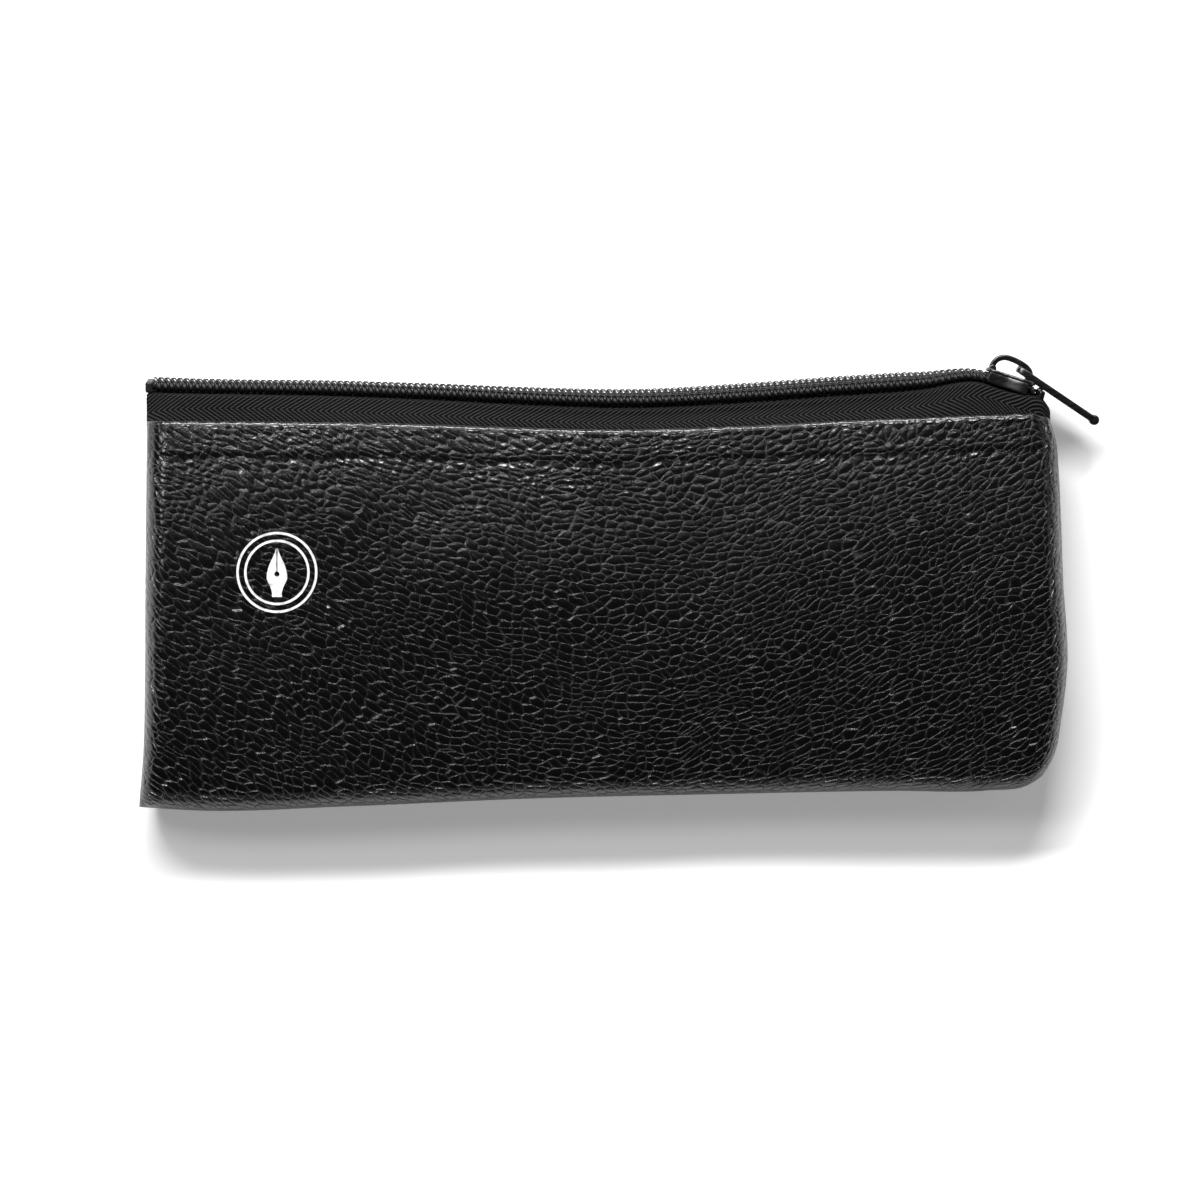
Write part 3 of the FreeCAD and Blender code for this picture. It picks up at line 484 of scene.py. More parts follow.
@dataclass(frozen=True)
class Thread:
    """Twisted sewing thread or filler cord."""

    name: str = "twisted_thread"
    colour: float = 0.012
    ply: float = 0.55 * MM

    def build(self) -> bpy.types.Material:
        """Makes the material."""
        mix = Recipe(self.name)
        turns = 1.0 / self.ply
        twist = mix.node(
            "TexWave", {"Vector": mix.place((turns, turns, turns)), "Scale": 0.3, "Distortion": 1.5},
            bands_direction="DIAGONAL",
        ).outputs["Fac"]
        fibre = mix.noise(mix.place((3800.0, 3800.0, 3800.0)))
        mix.feed("Base Color", mix.mix(twist, tint(self.colour * 0.5), tint(self.colour * 1.4)))
        mix.feed("Roughness", mix.fit(fibre, 0.3, 0.7, 0.5, 0.72))
        mix.relief((twist, 0.06 * MM), (fibre, 0.02 * MM))
        return mix.material


@dataclass(frozen=True)
class PlainWeave:
    """Fine plain-woven lining cloth."""

    name: str = "lining_weave"
    yarn: float = 0.34 * MM
    colour: float = 0.020

    def build(self) -> bpy.types.Material:
        """Makes the material."""
        mix = Recipe(self.name)
        apart = mix.node("SeparateXYZ", {0: mix.place((1.0, 1.0, 1.0))})
        turn = math.pi / self.yarn
        warp = mix.math("SINE", mix.math("MULTIPLY", apart.outputs[0], turn))
        weft = mix.math("SINE", mix.math("MULTIPLY", apart.outputs[1], turn))
        weave = mix.math("MULTIPLY", warp, weft)
        slub = mix.noise(mix.place((160.0, 900.0, 300.0)))
        tone = mix.fit(mix.math("ADD", weave, slub), -0.5, 1.5)
        dark, light = tint(self.colour * 0.5, -0.03), tint(self.colour * 1.4, -0.05)
        mix.feed("Base Color", mix.mix(tone, dark, light))
        mix.feed("Roughness", mix.fit(slub, 0.3, 0.7, 0.74, 0.88))
        mix.set(Sheen_Weight=0.15)
        mix.relief((weave, 0.06 * MM), (slub, 0.05 * MM))
        return mix.material


@dataclass(frozen=True)
class PrintInk:
    """Off-white screen ink, thin enough that the leather's relief shows through."""

    name: str = "white_ink"
    colour: float = 0.80

    def build(self) -> bpy.types.Material:
        """Makes the material."""
        mix = Recipe(self.name)
        grit = mix.noise(mix.place((2200.0, 2200.0, 2200.0)), 4.0)
        thin = mix.fit(mix.noise(mix.place((700.0, 700.0, 700.0)), 3.0), 0.32, 0.5)
        mix.feed("Base Color", mix.mix(thin, tint(self.colour * 0.6), tint(self.colour)))
        mix.feed("Roughness", mix.fit(grit, 0.3, 0.7, 0.45, 0.65))
        mix.relief((grit, 0.02 * MM))
        return mix.material


@dataclass
class Finishes:
    """Every finish on the case, each made once."""

    leather: bpy.types.Material = field(default_factory=lambda: PebbledLeather().build())
    tape: bpy.types.Material = field(default_factory=lambda: Herringbone().build())
    coil: bpy.types.Material = field(default_factory=lambda: Nylon().build())
    stop: bpy.types.Material = field(default_factory=lambda: Nylon("moulded_stop", 0.008, 0.4).build())
    enamel: bpy.types.Material = field(default_factory=lambda: Enamel().build())
    thread: bpy.types.Material = field(default_factory=lambda: Thread().build())
    core: bpy.types.Material = field(
        default_factory=lambda: Thread("filler_cord", 0.009, 0.9 * MM).build()
    )
    lining: bpy.types.Material = field(default_factory=lambda: PlainWeave().build())
    ink: bpy.types.Material = field(default_factory=lambda: PrintInk().build())


# ---------------------------------------------------------------------------------------------
# The case's form
# ---------------------------------------------------------------------------------------------


@dataclass
class CaseForm:
    """The shape that both panels share, in millimetres."""

    seam: float = 8.5
    roll: float = 5.2
    tuck: float = 22.0
    crown: float = 20.0
    crown_y: float = -5.0
    crown_radius: float = 300.0
    rise_y: float = 22.0
    rise_radius: float = 115.0
    left: Callable[[Array], Array] = field(init=False)
    right: Callable[[Array], Array] = field(init=False)
    bottom: Callable[[Array], Array] = field(init=False)
    top: Callable[[Array], Array] = field(init=False)

    def __post_init__(self) -> None:
        """Draws the four sides of the outline from their chosen points."""
        low_left, low_right = (-108.4, -45.6), (102.6, -38.4)
        top_left, top_right = (-106.5, 44.6), (104.3, 45.2)
        self.left = edge_line([low_left, (-107.4, -34.6), (-106.9, -18.0), (-106.8, 2.0), top_left])
        self.bottom = edge_line([
            low_left, (-94.3, -46.4), (-59.2, -45.4), (-17.1, -43.6), (25.0, -42.6),
            (67.2, -41.8), (90.0, -41.7), (98.6, -40.7), low_right,
        ])
        self.right = edge_line([
            low_right, (105.2, -33.6), (107.1, -24.0), (108.3, -13.6), (107.4, 7.5),
            (106.9, 21.5), (106.4, 33.0), (105.7, 40.5), top_right,
        ])
        self.top = edge_line([
            top_left, (-77.0, 44.4), (-47.5, 44.0), (-20.0, 43.1), (4.0, 42.6), (34.4, 43.5),
            (55.0, 44.6), (74.2, 45.3), (92.0, 46.0), (100.5, 46.1), top_right,
        ])

    def spread(self, s: Array, t: Array) -> tuple[Array, Array]:
        """Places across the outline, from the left to the right and the bottom to the mouth."""
        s_col, t_col = s[:, None], t[:, None]
        low, high = self.bottom(s), self.top(s)
        near, far = self.left(t), self.right(t)
        corners = [self.left(np.zeros(1)), self.right(np.zeros(1)),
                   self.left(np.ones(1)), self.right(np.ones(1))]
        flat = (
            (1 - t_col) * low + t_col * high + (1 - s_col) * near + s_col * far
            - (1 - s_col) * (1 - t_col) * corners[0] - s_col * (1 - t_col) * corners[1]
            - (1 - s_col) * t_col * corners[2] - s_col * t_col * corners[3]
        )
        return flat[:, 0], flat[:, 1]

    def crown_at(self, y: Array) -> Array:
        """Height of the front panel's outside, away from its edges."""
        fall = self.crown_radius**2 - (y - self.crown_y) ** 2
        return self.crown - self.crown_radius + np.sqrt(fall)

    def floor_at(self, y: Array) -> Array:
        """Height of the back panel's outside, away from its edges."""
        along = np.maximum(0.0, y - self.rise_y)
        return self.rise_radius - np.sqrt(self.rise_radius**2 - along**2)

    def face_at(self, side: Side, y: Array) -> Array:
        """Height of either panel's outside, away from its edges."""
        return self.crown_at(y) if side is Side.FRONT else self.floor_at(y)

    def turned_edge(self, roll: float) -> float:
        """Length of leather in the rolled edge, from the seam to the flat."""
        return roll * math.radians(90.0 + self.tuck)

    def inset(self, along: Array, roll: float) -> Array:
        """Distance in from the outline, for a length of leather measured from the seam."""
        start = math.radians(self.tuck)
        angle = np.minimum(along / roll - start, math.pi / 2)
        rolled = roll * (1 - np.cos(angle))
        seam_turn = 0.9 * np.clip(1 - along / 1.3, 0, 1) ** 2
        return rolled + np.maximum(0.0, along - self.turned_edge(roll)) + seam_turn

    def fullness(self, along: Array, roll: float) -> Array:
        """Share of the full height, for a length of leather measured from the seam."""
        start = math.radians(self.tuck)
        angle = np.minimum(along / roll - start, math.pi / 2)
        return (np.sin(angle) + math.sin(start)) / (1 + math.sin(start))


def pebble_height(tree: bpy.types.NodeTree, grain: bpy.types.NodeSocket) -> bpy.types.NodeSocket:
    """Adds the grain's relief to a node tree, so that mesh and finish share one grain.

    Args:
        tree: The tree, of geometry or of a material.
        grain: Places in the grain, one pebble for each unit.

    Returns:
        The relief: 1 on top of a pebble, 0 in the creases between pebbles.
    """
    edge = tree.nodes.new("ShaderNodeTexVoronoi")
    edge.voronoi_dimensions = "2D"
    edge.feature = "DISTANCE_TO_EDGE"
    middle = tree.nodes.new("ShaderNodeTexVoronoi")
    middle.voronoi_dimensions = "2D"
    for cells in (edge, middle):
        cells.inputs["Scale"].default_value = 1.0
        cells.inputs["Randomness"].default_value = 0.86
        tree.links.new(grain, cells.inputs["Vector"])
    shoulder = tree.nodes.new("ShaderNodeMapRange")
    shoulder.interpolation_type = "SMOOTHERSTEP"
    shoulder.inputs["From Max"].default_value = 0.14
    tree.links.new(edge.outputs["Distance"], shoulder.inputs["Value"])
    dome = tree.nodes.new("ShaderNodeMapRange")
    dome.inputs["From Max"].default_value = 0.9
    dome.inputs["To Min"].default_value = 1.0
    dome.inputs["To Max"].default_value = 0.62
    tree.links.new(middle.outputs["Distance"], dome.inputs["Value"])
    height = tree.nodes.new("ShaderNodeMath")
    height.operation = "MULTIPLY"
    tree.links.new(shoulder.outputs["Result"], height.inputs[0])
    tree.links.new(dome.outputs["Result"], height.inputs[1])
    return height.outputs[0]


# ---------------------------------------------------------------------------------------------
# Leather
# ---------------------------------------------------------------------------------------------


@dataclass(frozen=True)
class Patch:
    """A soft-edged patch on a panel: its strength, middle and half sizes in millimetres."""

    strength: float
    x: float
    y: float
    width: float
    depth: float

    def at(self, x: Array, y: Array) -> Array:
        """Strength of the patch at each place."""
        far = ((x - self.x) / self.width) ** 2 + ((y - self.y) / self.depth) ** 2
        return self.strength * np.exp(-far)


@dataclass
class LeatherPanel:
    """One panel of pebbled leather: rolled at three edges, turned in at the mouth."""

    side: Side
    form: CaseForm
    finishes: Finishes
    columns: int = 452
    rows: int = 204
    thickness: float = 1.2
    allowance: float = 3.2
    fold: float = 0.75
    hem: float = 7.0
    lip_pitch: float = 3.9
    seam_edge: float = 0.4
    corner_size: float = 2.3
    grain_depth: float = 0.09
    pebble: tuple[float, float] = (2.75, 1.62)
    width: float = 213.0
    height: float = 89.0
    swells: tuple[Patch, ...] = (
        Patch(1.0, -52.0, 12.0, 42.0, 24.0), Patch(-0.8, 86.0, -30.0, 30.0, 16.0),
    )
    rubbed: tuple[Patch, ...] = (
        Patch(0.42, -54.0, 12.0, 36.0, 22.0), Patch(0.14, 60.0, -5.0, 40.0, 20.0),
    )

    def __post_init__(self) -> None:
        """Works out the leather's flat size between its seams."""
        turned = 2 * self.form.turned_edge(self.form.roll)
        self.flat_width = self.width - 2 * self.form.roll + turned
        self.face_height = self.height - self.form.roll + turned / 2

    def build(self) -> bpy.types.Object:
        """Makes the panel's grained outside and plain inside, and joins them at the edges."""
        skin = grid(f"{self.side.word}_leather", self.columns, self.rows)
        self.lay(skin, 0.0)
        self.emboss(skin)
        lining_face = grid("flesh_side", self.columns // 6, self.rows // 6)
        self.lay(lining_face, self.thickness)
        pick_only(lining_face)
        bpy.ops.object.mode_set(mode="EDIT")
        bpy.ops.mesh.select_all(action="SELECT")
        bpy.ops.mesh.flip_normals()
        bpy.ops.object.mode_set(mode="OBJECT")
        panel = join(f"{self.side.word}_leather", [skin, lining_face])
        bpy.ops.object.mode_set(mode="EDIT")
        bpy.ops.mesh.select_all(action="SELECT")
        bpy.ops.mesh.region_to_loop()
        bpy.ops.mesh.bridge_edge_loops()
        bpy.ops.object.mode_set(mode="OBJECT")
        smooth(panel, 65.0)
        dress(panel, self.finishes.leather)
        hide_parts(f"{self.side.word}_panel")
        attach(panel, "pouch")
        return panel

    def lay(self, obj: bpy.types.Object, depth: float) -> None:
        """Drapes a unit grid over the panel's form.

        Args:
            obj: The grid.
            depth: How far under the outside it lies, in millimetres.
        """
        spots = points_of(obj)
        if self.side is Side.BACK:
            spots[:, 0] = 1.0 - spots[:, 0]
        across, up = self.spread(spots[:, 0], spots[:, 1])
        places = self.outside(across, up)
        if depth:
            facing = self.facing(across, up, self.seam_edge)
            from_side = np.minimum(across, self.flat_width - across)
            at_seam = np.minimum(from_side, up) < self.seam_edge
            at_corner = np.maximum(from_side, up) < self.corner_size
            facing[at_seam | at_corner] = (0.0, 0.0, -self.side.value)
            turned_in = ease(self.face_height - 2.5, self.face_height - 0.5, up)
            thin = 1.0 - turned_in * (1.0 - self.fold_radius(across) / self.fold)
            places = places - facing * (depth * thin)[:, None]
        move_points(obj, places * MM)
        grain_seed = 0.0 if self.side is Side.FRONT else 400.0
        self.store(obj, "grain", self.grain_lines(across + grain_seed, up))
        self.store(obj, "grain_share", self.grain_share(across, up))
        self.store(obj, "polish", self.polish(places[:, 0], places[:, 1]))

    def facing(self, across: Array, up: Array, step: float) -> Array:
        """Unit directions out of the outer face.

        Args:
            across: Length of leather from the left seam.
            up: Length of leather from the bottom seam.
            step: How far to each side the slope is read.

        Returns:
            One row of X, Y and Z for each place.
        """
        along = self.outside(across + step, up) - self.outside(across - step, up)
        rise = self.outside(across, up + step) - self.outside(across, up - step)
        way = np.cross(along, rise) * self.side.value
        return way / np.maximum(np.linalg.norm(way, axis=1), 1e-6)[:, None]

    def spread(self, s: Array, t: Array) -> tuple[Array, Array]:
        """Turns a unit grid's coordinates into lengths of leather from the seams."""
        across = -self.allowance + s * (self.flat_width + 2 * self.allowance)
        total = self.allowance + self.face_height + math.pi * self.fold + self.hem
        return across, -self.allowance + t * total

    def outside(self, across: Array, up: Array) -> Array:
        """The outer face, in millimetres.

        Args:
            across: Length of leather from the left seam.
            up: Length of leather from the bottom seam.

        Returns:
            One row of X, Y and Z for each place.
        """
        form, sign = self.form, self.side.value
        from_right = self.flat_width - across
        left_side = across < self.flat_width / 2
        near = np.where(left_side, across, from_right)
        share = form.inset(near, form.roll) / self.width
        p = np.where(left_side, share, 1.0 - share)
        over = np.clip(up - self.face_height, 0.0, None)
        q = form.inset(np.minimum(up, self.face_height), form.roll) / self.height
        end_full = self.end_fullness(across)
        full = end_full * form.fullness(np.maximum(up, 0.0), form.roll)
        radius = self.fold_radius(across)
        angle = np.clip(over / self.fold, 0.0, math.pi)
        hem = np.clip(over - math.pi * self.fold, 0.0, None)
        x, y = form.spread(p, np.clip(q, 0.0, 1.0))
        tucked = 0.9 * (1.0 - radius / self.fold) * angle / math.pi
        x = x + np.where(left_side, tucked, -tucked)
        y = y - radius * ease(0.8, 1.0, q) + radius * np.sin(angle) - hem
        y = y + self.puckers(x, up) * 0.16
        face = form.face_at(self.side, np.minimum(y, 44.0)) + self.billow(x, y) * full
        z = form.seam + full * (face - form.seam)
        z = z - sign * radius * (1.0 - np.cos(angle))
        z = z + sign * self.hem_ridge(x, up) * end_full
        flat_out = sign * np.clip(-np.minimum(np.minimum(across, from_right), up), 0.0, 1.0)
        z = np.where(full < 0.02, form.seam + sign * 0.04 + flat_out * 0.05, z)
        return np.column_stack([x, y, z])

    def end_fullness(self, across: Array) -> Array:
        """Share of the full height that the two side seams leave, at each place across."""
        form = self.form
        from_left = form.fullness(np.maximum(across, 0.0), form.roll)
        return from_left * form.fullness(np.maximum(self.flat_width - across, 0.0), form.roll)

    def fold_radius(self, across: Array) -> Array:
        """Radius of the fold at the mouth, which flattens towards the side seams."""
        return 0.06 + (self.fold - 0.06) * np.clip(self.end_fullness(across) * 1.6 - 0.3, 0.0, 1.0)

    def billow(self, x: Array, y: Array) -> Array:
        """Slow swells and dents of the filled leather, in millimetres."""
        swell = 0.55 * waves(x + 300, y + 90, 47.0, 21) + 0.28 * waves(x, y + 50, 19.0, 22)
        if self.side is Side.BACK:
            return np.maximum(0.0, 0.5 * swell)
        for patch in self.swells:
            swell = swell + patch.at(x, y)
        return swell

    def puckers(self, x: Array, up: Array) -> Array:
        """Small gathers at the turned edge, one at each stitch."""
        near_lip = ease(self.face_height - 3.4, self.face_height, up)
        uneven = 1.0 + 0.6 * waves(x, x * 0.0, 9.0, 31)
        return near_lip * uneven * (np.abs(np.sin(math.pi * x / self.lip_pitch)) - 0.6)

    def hem_ridge(self, x: Array, up: Array) -> Array:
        """The step in the face where the turned-in hem ends, in millimetres."""
        below_lip = self.face_height - up + 0.5 * waves(x, x * 0.0, 14.0, 32)
        doubled = 1.0 - ease(self.hem - 0.6, self.hem + 1.1, below_lip)
        groove = np.exp(-((below_lip - self.hem - 1.0) / 0.7) ** 2)
        return 0.24 * doubled - 0.09 * groove - 0.1 * self.puckers(x, up)

    def grain_lines(self, across: Array, up: Array) -> Array:
        """Where each place falls in the grain: one pebble for each unit of the result."""
        x, y = across - self.width / 2, up - self.height / 2
        flow = smooth_line([
            (-116.0, 50.0), (-60.0, 21.0), (-30.0, 8.0), (-10.0, 2.5), (15.0, 0.0),
            (45.0, 4.5), (75.0, 15.5), (116.0, 32.0),
        ])(x)[:, 0]
        bent_x = x + 1.7 * waves(x, y, 8.5, 11) + 0.6 * waves(x, y, 2.6, 12)
        bent_y = y - flow + 1.5 * waves(x, y, 10.5, 13) + 0.4 * waves(x, y, 2.3, 14)
        return np.column_stack([bent_x / self.pebble[0], bent_y / self.pebble[1], np.zeros(len(x))])

    def grain_share(self, across: Array, up: Array) -> Array:
        """How deep the grain is at each place, from 0 to 1."""
        from_edge = np.minimum(across, self.flat_width - across)
        side_band = ease(1.0, self.form.turned_edge(self.form.roll) - 1.5, from_edge)
        low_band = ease(1.0, self.form.turned_edge(self.form.roll) - 1.5, up)
        lip = 1.0 - 0.9 * ease(self.face_height - 0.7, self.face_height + 0.1, up)
        return (0.5 + 0.5 * side_band * low_band) * lip

    def polish(self, x: Array, y: Array) -> Array:
        """How much the leather has been rubbed to a shine, from 0 to about 0.5."""
        return sum(patch.at(x, y) for patch in self.rubbed)

    def store(self, obj: bpy.types.Object, name: str, values: Array) -> None:
        """Keeps numbers or vectors on an object's vertices under a name."""
        vector = values.ndim == 2
        kind = "FLOAT_VECTOR" if vector else "FLOAT"
        layer = obj.data.attributes.new(name, kind, "POINT")
        layer.data.foreach_set("vector" if vector else "value", values.ravel().astype(np.float32))

    def emboss(self, obj: bpy.types.Object) -> None:
        """Presses the grain's creases into the leather with a nodes modifier."""
        group = bpy.data.node_groups.new("grain_press", "GeometryNodeTree")
        group.interface.new_socket("Geometry", in_out="INPUT", socket_type="NodeSocketGeometry")
        group.interface.new_socket("Geometry", in_out="OUTPUT", socket_type="NodeSocketGeometry")
        nodes, links = group.nodes, group.links
        leather, pressed = nodes.new("NodeGroupInput"), nodes.new("NodeGroupOutput")
        grain = nodes.new("GeometryNodeInputNamedAttribute")
        grain.data_type = "FLOAT_VECTOR"
        grain.inputs[0].default_value = "grain"
        share = nodes.new("GeometryNodeInputNamedAttribute")
        share.inputs[0].default_value = "grain_share"
        pebble = pebble_height(group, grain.outputs[0])
        depth = nodes.new("ShaderNodeMath")
        depth.operation = "MULTIPLY_ADD"
        depth.inputs[1].default_value = self.grain_depth * MM
        depth.inputs[2].default_value = -self.grain_depth * MM
        amount = nodes.new("ShaderNodeMath")
        amount.operation = "MULTIPLY"
        facing = nodes.new("GeometryNodeInputNormal")
        push = nodes.new("ShaderNodeVectorMath")
        push.operation = "SCALE"
        move = nodes.new("GeometryNodeSetPosition")
        links.new(pebble, depth.inputs[0])
        links.new(depth.outputs[0], amount.inputs[0])
        links.new(share.outputs[0], amount.inputs[1])
        links.new(facing.outputs[0], push.inputs[0])
        links.new(amount.outputs[0], push.inputs["Scale"])
        links.new(leather.outputs[0], move.inputs["Geometry"])
        links.new(push.outputs[0], move.inputs["Offset"])
        links.new(move.outputs[0], pressed.inputs[0])
        press = obj.modifiers.new("Grain", "NODES")
        press.node_group = group
        apply_modifiers(obj)
        bpy.data.node_groups.remove(group)


@dataclass
class Lining:
    """The woven lining sewn under one panel's hem."""

    side: Side
    panel: LeatherPanel
    finishes: Finishes
    drop: float = 4.2
    under: float = 1.75
    side_gap: float = 2.7
    thickness: float = 0.3

    def build(self) -> bpy.types.Object:
        """Makes the lining as a slightly creased sheet."""
        cloth = grid(f"{self.side.word}_lining_cloth", 200, 90)
        drape(cloth, self.surface)
        thicken(cloth, self.thickness * MM, 0.0)
        smooth(cloth, 50.0)
        dress(cloth, self.finishes.lining)
        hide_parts(f"lining_{self.side.word}")
        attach(cloth, "pouch")
        return cloth

    def surface(self, s: Array, t: Array) -> Array:
        """The lining's middle, in millimetres, for a unit grid's coordinates."""
        panel, sign = self.panel, self.side.value
        across = self.side_gap + s * (panel.flat_width - 2 * self.side_gap)
        up = self.side_gap + t * (panel.face_height - self.drop - self.side_gap)
        place = panel.outside(across, up)
        facing = panel.facing(across, up, 0.5)
        edge = np.minimum(np.minimum(across, panel.flat_width - across), up)
        loose = ease(4.0, 16.0, edge) * ease(0.0, 0.12, 1.0 - t)
        slack = 0.35 * (1.0 + waves(across, up, 13.0, 41)) * loose
        place = place - facing * (self.under + slack)[:, None]
        above = (place[:, 2] - panel.form.seam) * sign
        place[:, 2] = panel.form.seam + sign * np.maximum(above, 0.35)
        return place


@dataclass
class PrintedNib:
    """A generic printed mark: two rings round a pen nib, on the front's left."""

    panel: bpy.types.Object
    finishes: Finishes
    centre: tuple[float, float] = (-75.6, 9.2)
    outer: float = 9.4
    inner: float = 7.6
    line: float = 0.55
    lift: float = 0.05
    hole: float = 0.62
    base: float = -5.7
    tip: float = 5.7
    start_height: float = 25.0

    def build(self) -> bpy.types.Object:
        """Makes the print as thin ink that follows the leather's relief."""
        pieces = [self.ring(self.outer, 180), self.ring(self.inner, 150)]
        pieces += [self.half_nib(way) for way in (1, -1)]
        print_ = join("printed_nib_mark", pieces)
        wrap = print_.modifiers.new("Onto leather", "SHRINKWRAP")
        wrap.target = self.panel
        wrap.wrap_method = "PROJECT"
        wrap.use_project_z = True
        wrap.use_negative_direction = True
        wrap.use_positive_direction = False
        wrap.offset = self.lift * MM
        apply_modifiers(print_)
        thicken(print_, 0.03 * MM, -1.0)
        smooth(print_, 60.0)
        dress(print_, self.finishes.ink)
        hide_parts("printed_emblem")
        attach(print_, "pouch")
        return print_

    def ring(self, radius: float, steps: int) -> bpy.types.Object:
        """One ring of ink above the leather, before it is laid down."""
        band = grid("ring", steps, 2)

        def surface(s: Array, t: Array) -> Array:
            """The ring above the leather for a unit grid's coordinates."""
            angle = -s * 2 * math.pi
            reach = radius - self.line * (1 - t)
            x = self.centre[0] + reach * np.cos(angle)
            y = self.centre[1] + reach * np.sin(angle)
            return np.column_stack([x, y, np.full(len(s), self.start_height)])

        drape(band, surface)
        outward(band)
        return band

    def half_nib(self, way: int) -> bpy.types.Object:
        """Half of the nib, left (-1) or right (1) of its slit."""
        half = grid("half_nib", 12, 56)
        edge = smooth_line([
            (self.base, 1.15), (-4.6, 1.15), (-3.4, 1.5), (-1.4, 2.35), (0.2, 2.2), (1.8, 1.75),
            (3.6, 0.9), (self.tip, 0.12),
        ])

        def surface(s: Array, t: Array) -> Array:
            """Half of the nib above the leather for a unit grid's coordinates."""
            dy = self.base + (self.tip - self.base) * t
            slit = np.where(dy > -0.4, 0.13, 0.0)
            round_hole = np.sqrt(np.maximum(0.0, self.hole**2 - (dy + 0.4) ** 2))
            start = np.maximum(slit, round_hole)
            dx = start + (np.maximum(edge(dy)[:, 0], start) - start) * s
            x = self.centre[0] + way * dx
            y = self.centre[1] + dy
            return np.column_stack([x, y, np.full(len(s), self.start_height)])

        drape(half, surface)
        outward(half)
        return half


# ---------------------------------------------------------------------------------------------
# Zip
# ---------------------------------------------------------------------------------------------


@dataclass
class Chain:
    """The line that the closed zip follows, and how it leans, in millimetres."""

    panel: LeatherPanel
    seam: float = 8.5
    pitch: float = 1.5
    first: float = -105.1
    last: float = 101.6
    half_turns: int = 65
    head: float = 0.45
    reach: float = 3.1
    rise: float = 3.0
    line: Callable[[Array], Array] = field(init=False)
    bends: dict[tuple[Side, End], tuple[float, float]] = field(default_factory=lambda: {
        (Side.FRONT, End.LEFT): (-105.0, -50.0), (Side.FRONT, End.RIGHT): (104.0, 50.0),
        (Side.BACK, End.LEFT): (-105.0, 158.0), (Side.BACK, End.RIGHT): (104.0, -198.0),
    })

    def __post_init__(self) -> None:
        """Draws the line through its stations: X, Y, reach, parting and lean in degrees."""
        self.line = smooth_line([
            (-107.0, 51.6, 3.3, 0.0, 10.0), (-102.0, 51.5, 4.2, 0.0, 11.0),
            (-99.0, 51.4, 4.5, 0.0, 10.0), (-60.0, 50.7, 4.5, 0.0, 11.0),
            (-40.0, 50.0, 4.5, 0.0, 14.0), (-17.0, 49.0, 4.5, 0.0, 19.0),
            (7.0, 48.5, 4.5, 0.0, 23.0), (34.0, 49.9, 4.5, 0.0, 26.0),
            (53.0, 51.3, 4.5, 0.0, 26.0), (74.0, 52.7, 4.6, 0.0, 22.0),
            (88.4, 53.9, 5.1, 0.0, 10.0), (93.8, 52.2, 5.3, 0.1, 10.0),
            (97.7, 51.5, 4.7, 1.5, 10.0), (100.2, 51.1, 4.6, 1.5, 10.0),
            (102.9, 49.6, 3.2, 0.9, 10.0), (104.8, 46.8, 1.6, 0.3, 10.0),
        ])

    def at(self, side: Side, x: Array, across: Array | float, height: Array | float) -> Array:
        """Places on one half of the zip.

        Args:
            side: Which half.
            x: Places along the zip.
            across: Distance out from the middle of the chain.
            height: Distance out of the zip from the tape's upper face.

        Returns:
            One row of X, Y and Z for each x.
        """
        values = self.line(x)
        lean = np.radians(values[:, 3])
        out = side.value * (values[:, 2] + across)
        y = values[:, 0] + height * np.cos(lean) - out * np.sin(lean)
        z = self.seam + height * np.sin(lean) + out * np.cos(lean)
        return np.column_stack([x, y, z])

    def rise_at(self, x: Array) -> Array:
        """How far the coil stands out of the tape: less where it runs into the slider."""
        return self.rise - 0.6 * ease(68.0, 86.0, x)

    def span(self, end: End) -> tuple[float, float]:
        """X where one end's pieces start and stop, a whole number of turns apart."""
        middle = self.first + self.half_turns * self.pitch
        if end is End.LEFT:
            return self.first, middle
        return middle, middle + int((self.last - middle) / self.pitch) * self.pitch

    def hang(self, obj: bpy.types.Object, side: Side, end: End) -> None:
        """Puts one end's piece's place into its mesh."""
        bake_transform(obj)


def through(stops: list[Array], t: Array) -> Array:
    """A smooth curve through the same number of stops at each place.

    Args:
        stops: The stops in order, each one row of values for each place.
        t: How far each place is along its curve, from 0 to 1.

    Returns:
        One row of values for each place.
    """
    rows = np.stack([2 * stops[0] - stops[1], *stops, 2 * stops[-1] - stops[-2]])
    spot = np.clip(t, 0.0, 1.0) * (len(stops) - 1)
    i = np.clip(np.floor(spot).astype(int), 0, len(stops) - 2)
    u = (spot - i)[:, None]
    n = np.arange(len(t))
    p0, p1, p2, p3 = (rows[i + k, n] for k in range(4))
    return 0.5 * (
        2 * p1 + (p2 - p0) * u + (2 * p0 - 5 * p1 + 4 * p2 - p3) * u**2
        + (3 * p1 - p0 - 3 * p2 + p3) * u**3
    )


